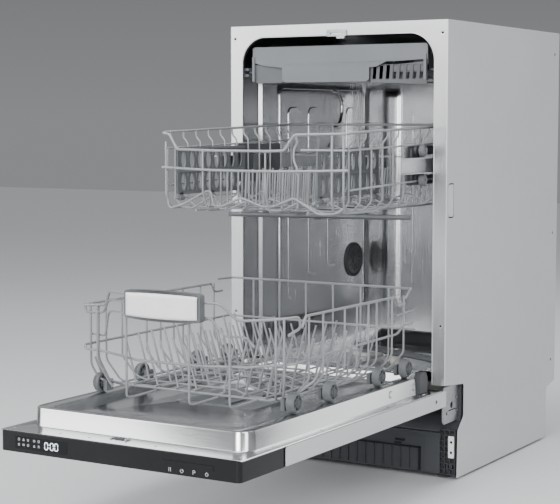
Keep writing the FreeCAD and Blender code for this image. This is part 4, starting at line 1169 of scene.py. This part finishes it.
# ------------------------------------------------------------ upper basket
def build_upper_basket(scene):
    """The upper basket: dipped and rising rim, jogged uprights, waved floor and tines."""
    sizes = scene.dishwasher_sizes
    half, corner, nose, rear = 182.0, -283.0, -304.0, 150.0
    floor = 498.0
    runs = []

    def run(points, factor=1):
        """Adds one wire, thicker where factor is above 1."""
        runs.append((points, factor, False))

    def front_y(x):
        return bow(x, corner, nose, half)

    def rise(y, low, gain=12.0):
        return low + gain * (y - corner) / (rear - corner)

    front = [(-half, 627), (-167, 625), (-149, 599), (-60, 598), (40, 598), (74, 599), (92, 625),
             (140, 626), (half, 627)]
    ring = [at(-half, y, rise(y, 628)) for y in (rear - 20, 0, corner + 12)] + [at(x, front_y(x), z) for x,
            z in front]
    ring += [at(half, y, rise(y, 628)) for y in (corner + 12, 0, rear - 20)] + [at(half, rear, 640),
            at(-half, rear, 640)]
    run(ring + [ring[0]], 1.35)
    run([at(x, front_y(x) - 1, 568 - 3 * (1 - (x / half) ** 2)) for x in steps(-half, half, 15)], 1.3)
    for sign in (-1, 1):
        side = sign * (half - 1)
        run([at(side, corner + 6, rise(corner, 600)), at(side, rear - 4, rise(rear, 600, 10))])
        run([at(side, corner + 10, 536), at(side, rear - 4, 548)])
    run([at(-half + 2, rear, 580), at(half - 2, rear, 580)])
    run([at(98, -291, 600), at(140, -286, 600), at(half - 2, corner, 600)])
    for index, y in enumerate(steps(corner + 22, rear - 16, 11)):
        top = rise(y, 628)
        wall = [at(-half + 1, y, top), at(-half + 1, y, top - 11), at(-half + 11, y, top - 21),
                at(-half + 11, y, 514), at(-158, y, floor + 1)]
        if index % 2 == 0:
            wave = [at(-134, y, floor), at(-90, y, floor + 24), at(-80, y, floor), at(-60, y, floor),
                    at(-24, y, floor + 15), at(20, y, floor), at(44, y, floor), at(80, y, floor + 16),
                    at(122, y, floor - 2), at(140, y, floor - 2)]
        else:
            wave = [at(-120, y, floor - 1), at(120, y, floor - 1)]
        mirror = mirrored(wall)
        run(wall + wave + mirror)
    first = corner + 2
    run([at(-173, first, 600), at(-174, first, 520), at(-171, first, floor + 4), at(-166, first, floor),
         at(-139, first, 506), at(-92, first, 529), at(-84, first, 528), at(-79, first, 504),
         at(-60, first, 504), at(-24, first, 519), at(20, first, 505), at(40, first, 506),
         at(80, first, 521), at(125, first, 496), at(140, first, 496), at(160, first, floor),
         at(half - 6, first + 6, 512)], 1.15)
    for x in (-87, 38):
        line = front_y(x)
        run([at(x, line + 1, 599), at(x, line + 1, 528), at(x, line + 16, floor - 2),
             at(x, rear - 14, floor - 2),
                      at(x, rear - 1, 516), at(x, rear - 1, 640)])
    for x in (-174, 154, 174):
        run([at(x, front_y(x) - 1, 612 if x < 0 else 624), at(x, front_y(x) - 1, 520),
             at(x * 0.98, front_y(x) + 10, floor), at(x * 0.96, -150, floor - 1)], 1.15)
    for x in (-120, -30, 100, 140):
        run([at(x, corner + 10, floor - 3), at(x, rear - 14, floor - 3), at(x, rear - 1, 516),
             at(x, rear - 1, 640)])
    run([at(94, -300, 622), at(96, -297, 612), at(89, -297, 602), at(89, -298, 584), at(96, -298, 570),
         at(96, -298, 560)], 1.2)
    for x, lean in ((-98, 6), (-62, 6), (-26, 8), (10, 8), (46, 8), (76, 8)):
        run([at(x, corner + 14, floor + 3), at(x, rear - 22, floor + 3)])
        for y in steps(corner + 20, rear - 34, 12):
            tip = sizes.upper_tine * 1000
            run([at(x, y, floor + 2), at(x + lean * 0.3, y - 3, floor + 2 + tip * 0.4),
                 at(x + lean, y - 9, floor + 2 + tip)])
    for x in (-168.5, 110):
        run([at(x, corner + 16, 514), at(x, corner + 250, 514)])
    wires("upper_basket_wires", runs, "upper_basket_body", coated_wire(), ["upper_basket"],
          radius=sizes.wire_radius * 1000, bend=5, sides=2)


def build_cup_shelves(_scene):
    """Two lattice shelves of hourglass slats, folded up."""
    for side in ("left", "right"):
        node = "cup_shelf_" + side
        low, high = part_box(node)
        x0, x1 = low[0] * 1000, high[0] * 1000
        y0, y1 = low[1] * 1000 - FACE, high[1] * 1000 - FACE
        z0, z1 = low[2] * 1000, high[2] * 1000
        columns = 8
        pitch = (y1 - y0 - 10) / columns
        holes = []
        for index in range(columns):
            middle = y0 + 5 + pitch * (index + 0.5)
            for bottom, top in ((z0 + 6, z0 + 38), (z0 + 43, z1 - 6)):
                high, wide = (top - bottom) / 2, pitch * 0.27
                lens = [(middle + wide * math.cos(a) * abs(math.cos(a)) ** 0.3,
                         (bottom + top) / 2 + high * math.sin(a))
                        for a in steps(0, math.tau, 17)[:-1]]
                holes.append(lens)
                if index:
                    slit = middle - pitch / 2
                    for v0, v1 in ((bottom + 1, bottom + high * 0.72), (top - high * 0.72, top - 1)):
                        holes.append([(slit - 2.0, v0), (slit + 2.0, v0), (slit + 0.9, v1),
                                      (slit - 0.9, v1)]
                                     if v0 < (bottom + top) / 2 - high * 0.5 else
                                     [(slit - 0.9, v0), (slit + 0.9, v0), (slit + 2.0, v1),
                                      (slit - 2.0, v1)])
        make = Maker()
        make.plate(rounded(y0, y1, z0, z1, 5), holes, lambda y, z, depth: at(x0 + 1.4 + depth, y, z),
                   x1 - x0 - 2.8)
        for y in (y0 + 12, (y0 + y1) / 2, y1 - 12):
            make.turned([(2.0, -6), (4.4, -6), (4.4, 6), (2.0, 6), (2.0, -6)], at((x0 + x1) / 2, y, z0 - 6),
                        (0, 1, 0), 20)
            make.box((x0 + x1) / 2 - 1.6, (x0 + x1) / 2 + 1.6, y - 5, y + 5, z0 - 3, z0 + 3)
        make.box(x0, x1, y0 + 2, y1 - 2, z0 + 38, z0 + 42)
        make.box(x0, x1, y0 + 2, y1 - 2, z1 - 4, z1 - 0.5)
        make.piece(node + "_lattice", node, grey_polypropylene(), [node], bevel=0.4)


def build_adjusters(_scene):
    """Height adjusters with levers and ribs, the rack rollers and the rail stops."""
    low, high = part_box("height_adjusters")
    outer = high[0] * 1000
    y0, y1 = low[1] * 1000 - FACE, high[1] * 1000 - FACE
    z0, z1 = low[2] * 1000, high[2] * 1000
    make = Maker()
    for sign in (-1, 1):
        body = lambda y, z, depth, sign=sign: at(sign * (outer - 23.6 + depth), y, z)
        make.plate(rounded(y0 + 1, y1 - 1, z0 + 1, z1 - 1, 8), [rounded(-4, 60, 552, 588, 5)], body, 3.6)
        for z in (545, 595):
            make.turned([(0, 0), (7.5, 0), (8.5, 1), (8.5, 8), (3, 8.6), (3, 20.4), (4, 20.6), (4, 22),
                         (0, 22)],
                        at(sign * (outer - 22.5), -28, z), (sign, 0, 0), 24)
        make.box(*sorted((sign * (outer - 22), sign * (outer - 14))), 78, 86, 587.6, 595)
        for y in (-48, -10, 72, 90):
            make.box(*sorted((sign * (outer - 20), sign * (outer - 16.5))), y - 1.2, y + 1.2, z0 + 6,
                     z1 - 6)
        make.plate([(y0 + 4, 566), (y0 + 30, 562), (y0 + 34, 570), (y0 + 30, 578), (y0 + 4, 574)], [],
                   lambda y, z, depth, sign=sign: at(sign * (outer - 24 + depth), y, z), 6)
    make.piece("height_adjusters_moulded", "upper_basket_body", dark_polypropylene(),
               ["height_adjusters"], bevel=0.6)
    for side, sign in SIDES:
        for level in ("top", "low"):
            node = "rack_roller_%s_%s" % (side, level)
            first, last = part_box(node)
            centre = Vector([(a + b) / 2 for a, b in zip(first, last)])
            roller = Maker()
            wheel(roller, centre, sign, 11, 9, 3.1, 5)
            roller.piece(node + "_spoked", node, grey_polypropylene(), [node])


def spray_arm(name, node, centre, reach, thick, turn, nozzles):
    """A moulded two-bladed spray arm with a domed hub and slot nozzles."""
    make = Maker()
    spin = Matrix.Rotation(math.radians(turn), 4, "Z")
    base = Vector(centre)

    def put(u, v, w):
        return base + spin @ Vector((u / 1000, v / 1000, w / 1000))

    half_width = lambda u: 14 + 6 * (1 - ease(abs(u), 10, 44)) - 3.2 * ease(abs(u), 60, reach)
    length = steps(-reach, reach, 61)
    across = steps(-1, 1, 13)

    def edge(u):
        cut = min(reach - abs(u), 13)
        return half_width(u) * math.sqrt(max(cut, 0) / 13)

    for sign in (1, -1):
        make.surface(length, across,
                     lambda u, v, sign=sign: put(u, v * edge(u),
                                                 thick / 2 + sign * (thick / 2) * (1 - abs(v) ** 4) ** 0.5))
    make.turned([(4.2, thick + 1.2), (9, thick + 1.4), (13, thick + 0.6), (18, thick - 1.5),
                 (20, thick / 2)], put(0, 0, 0), (0, 0, 1), 32)
    for u, v in nozzles:
        ring = [(u + 4.2 * math.cos(a), v + 2.2 * math.sin(a)) for a in steps(0, math.tau, 15)[:-1]]
        inner = [(u + 2.6 * math.cos(a), v + 0.9 * math.sin(a)) for a in steps(0, math.tau, 15)[:-1]]
        make.plate(ring, [inner], lambda a, b, depth: put(a, b, thick - 1.0 + depth), 1.8)
    make.piece(name, node, grey_polypropylene(), [node])


def build_spray_arms(_scene):
    """Upper and lower spray arms."""
    nozzles = [(-150, 0), (-118, 4), (-84, -4), (-52, 3), (52, -3), (84, 4), (118, -4), (150, 0)]
    spray_arm("upper_arm_moulded", "upper_spray_arm", at(0, -62, 473.6), 171, 8.6, 12, nozzles)
    lower = [(u * 0.86, v) for u, v in nozzles]
    spray_arm("lower_arm_moulded", "lower_spray_arm", at(0, 255, 185.2), 147, 9.6, -25, lower)


def build_cutlery_tray(_scene):
    """The cutlery tray: grey front panel with its notched corners, comb bays and slotted floor."""
    make = Maker()
    outline = [(-181, 781), (-177, 784), (177, 784), (181, 781), (181, 756), (116, 753), (100, 753),
               (80, 744), (66, 743), (66, 722), (60, 718), (-110, 718), (-116, 722), (-116, 745),
               (-160, 750), (-181, 756)]
    make.plate(outline, [], lambda x, z, depth: at(x, 6.2 + depth + 2.5 * (x / 181) ** 4, z), 3.4)
    for x0, x1 in ((-181, -176), (174, 179)):
        make.plate(rounded(x0, x1, 720, 766, 1.6), [], lambda x, z, depth: at(x, 6.5 + depth, z), 4)
    make.piece("tray_front_moulded", "cutlery_tray", grey_polypropylene(), bevel=0.8)
    tray = Maker()
    slots = []
    for bay in (-120, 0, 120):
        for y in steps(36, 436, 21):
            slots.append(rounded(bay - 46, bay + 46, y - 4, y + 4, 3, 3))
    tray.plate(rounded(-181, 181, 12.6, 460, 6), slots, lambda x, y, depth: at(x, y, 734.2 + depth), 2.4)
    for x in (-181, -62, 58, 178):
        wide = 3 if abs(x) > 100 else 4
        tray.box(x, x + wide, 12.6, 460, 736, 766)
    for y in (12.6, 457):
        tray.box(-181, 181, y, y + 3, 736, 766 if y > 100 else 748)
    for x in (-188.6, 188.6):
        tray.box(x - 7, x + 7, 20, 440, 736.2, 739.8)
    combs = steps(24, 450, 40)
    for y in combs:
        for x0, x1 in ((-178, -146), (-92, -62), (62, 92), (146, 178)):
            tray.plate([(x0, 737), (x1, 737), (x1, 752), (x1 - 6, 762), (x0 + 6, 762), (x0, 752)], [],
                       lambda x, z, depth, y=y: at(x, y + depth, z), 1.8)
    x0, x1 = 67, 179
    bars = []
    for x in steps(x0 + 7, x1 - 12, 8):
        bars.append([(x - 3.2, 722), (x + 3.6, 722), (x + 5.6, 747), (x - 1.2, 747)])
    tray.plate([(x0, 716), (x1, 712), (x1, 752), (x0, 744)], bars, lambda x, z, depth: at(x, 11 + depth, z),
               2.4)
    tray.box(x0, x1, 13, 60, 714.5, 716.5)
    tray.plate([(-178, 722), (-172, 717), (-117, 718), (-117, 744), (-160, 750), (-178, 752)], [],
               lambda x, z, depth: at(x, 11 + depth, z), 2.4)
    tray.box(-176, -117, 13, 60, 717.5, 720)
    tray.piece("tray_combs_moulded", "cutlery_tray", dark_polypropylene(), ["cutlery_tray"])


# -------------------------------------------------------------------- stage
def build_stage(scene):
    """Pale floor, soft studio lights and the camera."""
    view = scene.dishwasher_view
    make = bmesh.new()
    bmesh.ops.create_grid(make, x_segments=24, y_segments=24, size=9)
    mesh = bpy.data.meshes.new("studio_floor")
    make.to_mesh(mesh)
    make.free()
    floor = bpy.data.objects.new("studio_floor", mesh)
    bpy.context.scene.collection.objects.link(floor)
    floor.data.materials.append(finish("matt_painted_floor", "D9DADC", "D3D4D6", 0.0, 0.7, 12, 0.02,
                                       cloud=900))
    world = bpy.data.worlds.new("studio")
    world.use_nodes = True
    sky = world.node_tree
    place = add(sky, "ShaderNodeTexCoord")
    split = add(sky, "ShaderNodeSeparateXYZ", None, {"Vector": place.outputs["Generated"]})
    tone = add(sky, "ShaderNodeValToRGB", None, {"Fac": split.outputs["Z"]})
    tone.color_ramp.elements[0].position = 0.0
    tone.color_ramp.elements[0].color = linear("B4B6B8")
    tone.color_ramp.elements[1].position = 0.75
    tone.color_ramp.elements[1].color = linear("E6E8EA")
    for share, code in ((0.085, "A0A2A5"), (0.18, "ECEEF0")):
        tone.color_ramp.elements.new(share).color = linear(code)
    sky.links.new(tone.outputs["Color"], sky.nodes["Background"].inputs["Color"])
    world.node_tree.nodes["Background"].inputs["Strength"].default_value = view.room_light
    bpy.context.scene.world = world
    lamps = (
        ("key_panel", (2.6, -2.2, 2.4), (0.0, 0.0, 0.45), 1.5, 50),
        ("fill_panel", (-2.2, -2.4, 1.5), (0.0, -0.1, 0.4), 1.8, 62),
        ("rim_panel", (0.6, 2.4, 2.6), (0.0, 0.2, 0.5), 1.4, 36),
        ("front_strip", (0.7, -3.2, 0.9), (0.0, 0.3, 0.5), 0.9, 52),
        ("top_panel", (-0.2, -0.9, 2.9), (0.0, -0.2, 0.2), 1.5, 34),
        ("tub_strip", (0.0, -0.55, 1.25), (-0.1, 0.5, 0.45), 0.5, 7),
        ("back_right_panel", (1.5, 1.9, 0.45), (0.2, -0.3, 0.2), 0.9, 6),
        ("side_strip", (2.2, -1.35, 0.75), (-0.2, 0.14, 0.5), 0.55, 9),
    )
    for name, place, aim, size, power in lamps:
        lamp = bpy.data.lights.new(name, "AREA")
        lamp.shape = "RECTANGLE"
        lamp.size = size
        lamp.size_y = size * 1.3
        lamp.energy = power
        item = bpy.data.objects.new(name, lamp)
        item.location = place
        item.rotation_euler = (Vector(aim) - Vector(place)).to_track_quat("-Z", "Y").to_euler()
        bpy.context.scene.collection.objects.link(item)
    lens = bpy.data.cameras.new("product_camera")
    lens.lens = view.lens
    lens.sensor_width = 36
    camera = bpy.data.objects.new("product_camera", lens)
    camera.location = (view.stand_right, view.stand_front, view.stand_height)
    yaw, pitch = view.turn, view.tilt
    aim = Vector((-math.sin(yaw) * math.cos(pitch), math.cos(yaw) * math.cos(pitch), -math.sin(pitch)))
    camera.rotation_euler = aim.to_track_quat("-Z", "Y").to_euler()
    bpy.context.scene.collection.objects.link(camera)
    bpy.context.scene.camera = camera


# ------------------------------------------------------------ add-on classes
class DishwasherSizes(bpy.types.PropertyGroup):
    """Sizes that a user would change."""
    wire_radius: bpy.props.FloatProperty(name="Wire radius",
                                         description="Half the thickness of a coated basket wire",
                                         default=0.0017, unit="LENGTH")
    lower_tine: bpy.props.FloatProperty(name="Plate tine height",
                                        description="Height of the lower basket tines",
                                        default=0.080, unit="LENGTH")
    upper_tine: bpy.props.FloatProperty(name="Cup tine height",
                                        description="Height of the upper basket tines",
                                        default=0.062, unit="LENGTH")
    rib_radius: bpy.props.FloatProperty(name="Rib radius",
                                        description="Half the width of a pressed tub rib",
                                        default=0.0021, unit="LENGTH")
    seal_radius: bpy.props.FloatProperty(name="Seal radius",
                                         description="Half the thickness of the door seal's bulb",
                                         default=0.0034, unit="LENGTH")
    handle_wide: bpy.props.FloatProperty(name="Handle width",
                                         description="Width of the lower basket's grip plate",
                                         default=0.142, unit="LENGTH")
    handle_tall: bpy.props.FloatProperty(name="Handle height",
                                         description="Height of the lower basket's grip plate",
                                         default=0.043, unit="LENGTH")


def paint(label, told, code):
    """A colour that the user may change."""
    return bpy.props.FloatVectorProperty(name=label, description=told, subtype="COLOR", size=3, min=0.0,
                                         max=1.0, default=linear(code)[:3])


class DishwasherColours(bpy.types.PropertyGroup):
    """Colours that a user would change."""
    sheet: paint("Sheet", "Paint of the outer sheets", "BCBEC0")
    tub: paint("Tub", "Tone of the stainless tub", "C6C7C9")
    wire: paint("Wire", "Coating of the basket wires", "828487")
    plastic: paint("Grey plastic", "Tray, shelves, wheels and spray arms", "5E6164")
    fascia: paint("Fascia", "Control fascia", "0E0F10")
    handle: paint("Handle", "Grip plate of the lower basket", "F0F0F0")


class DishwasherView(bpy.types.PropertyGroup):
    """Where the camera stands and how it is turned."""
    lens: bpy.props.FloatProperty(name="Lens", description="Focal length in millimetres", default=99.25)
    stand_right: bpy.props.FloatProperty(name="Right", description="Camera place across", default=1.366,
                                         unit="LENGTH")
    stand_front: bpy.props.FloatProperty(name="Front", description="Camera place in depth", default=-2.401,
                                         unit="LENGTH")
    stand_height: bpy.props.FloatProperty(name="Height", description="Camera height", default=0.650,
                                          unit="LENGTH")
    turn: bpy.props.FloatProperty(name="Turn", description="Turn to the left of straight in",
                                  default=math.radians(31.05), subtype="ANGLE")
    tilt: bpy.props.FloatProperty(name="Tilt", description="Tilt down", default=math.radians(4.91),
                                  subtype="ANGLE")
    room_light: bpy.props.FloatProperty(name="Room light", description="Strength of the even light",
                                        default=0.56)


STEPS = [
    ("side_panels", "Side panels", build_side_panels),
    ("front_frame", "Front frame", build_front_frame),
    ("tub", "Tub", build_tub),
    ("tub_floor", "Tub floor", build_tub_floor),
    ("seal", "Door seal", build_seal),
    ("outer_back", "Back and inlets", build_outer_back),
    ("base", "Base and feet", build_base),
    ("works", "Hidden works", build_works),
    ("hinges", "Hinges", build_hinges),
    ("door_pan", "Door pan", build_door_pan),
    ("door_sheet", "Door sheet", build_door_sheet),
    ("fascia", "Control fascia", build_fascia),
    ("dispenser", "Dispenser", build_dispenser),
    ("lower_basket", "Lower basket", build_lower_basket),
    ("handle", "Basket handle", build_handle),
    ("wheels", "Basket wheels", build_wheels),
    ("upper_basket", "Upper basket", build_upper_basket),
    ("cup_shelves", "Cup shelves", build_cup_shelves),
    ("adjusters", "Height adjusters", build_adjusters),
    ("spray_arms", "Spray arms", build_spray_arms),
    ("cutlery_tray", "Cutlery tray", build_cutlery_tray),
    ("stage", "Stage", build_stage),
]


def operator_for(name, label, build):
    """One operator for a piece or a group of like pieces."""
    def execute(self, context):
        build(context.scene)
        return {"FINISHED"}
    return type("DISHWASHER_OT_" + name, (bpy.types.Operator,), {
        "__doc__": "Builds this piece of the dishwasher: " + label.lower(),
        "bl_idname": "dishwasher." + name, "bl_label": label, "execute": execute})


OPERATORS = [operator_for(*step) for step in STEPS]


class DISHWASHER_PT_pieces(bpy.types.Panel):
    """Lists the pieces of the dishwasher in the sidebar."""
    bl_label = "Dishwasher"
    bl_idname = "DISHWASHER_PT_pieces"
    bl_space_type = "VIEW_3D"
    bl_region_type = "UI"
    bl_category = "Dishwasher"

    def draw(self, context):
        for group in (context.scene.dishwasher_sizes, context.scene.dishwasher_colours,
                      context.scene.dishwasher_view):
            for name in group.bl_rna.properties.keys():
                if name not in ("rna_type", "name"):
                    self.layout.prop(group, name)
        for step in STEPS:
            self.layout.operator("dishwasher." + step[0])


CLASSES = [DishwasherSizes, DishwasherColours, DishwasherView] + OPERATORS + [DISHWASHER_PT_pieces]


def register():
    for cls in CLASSES:
        bpy.utils.register_class(cls)
    bpy.types.Scene.dishwasher_sizes = bpy.props.PointerProperty(type=DishwasherSizes)
    bpy.types.Scene.dishwasher_colours = bpy.props.PointerProperty(type=DishwasherColours)
    bpy.types.Scene.dishwasher_view = bpy.props.PointerProperty(type=DishwasherView)


def unregister():
    del bpy.types.Scene.dishwasher_view
    del bpy.types.Scene.dishwasher_colours
    del bpy.types.Scene.dishwasher_sizes
    for cls in reversed(CLASSES):
        bpy.utils.unregister_class(cls)


def main():
    register()
    for step in STEPS:
        getattr(bpy.ops.dishwasher, step[0])()


if __name__ == "__main__":
    main()
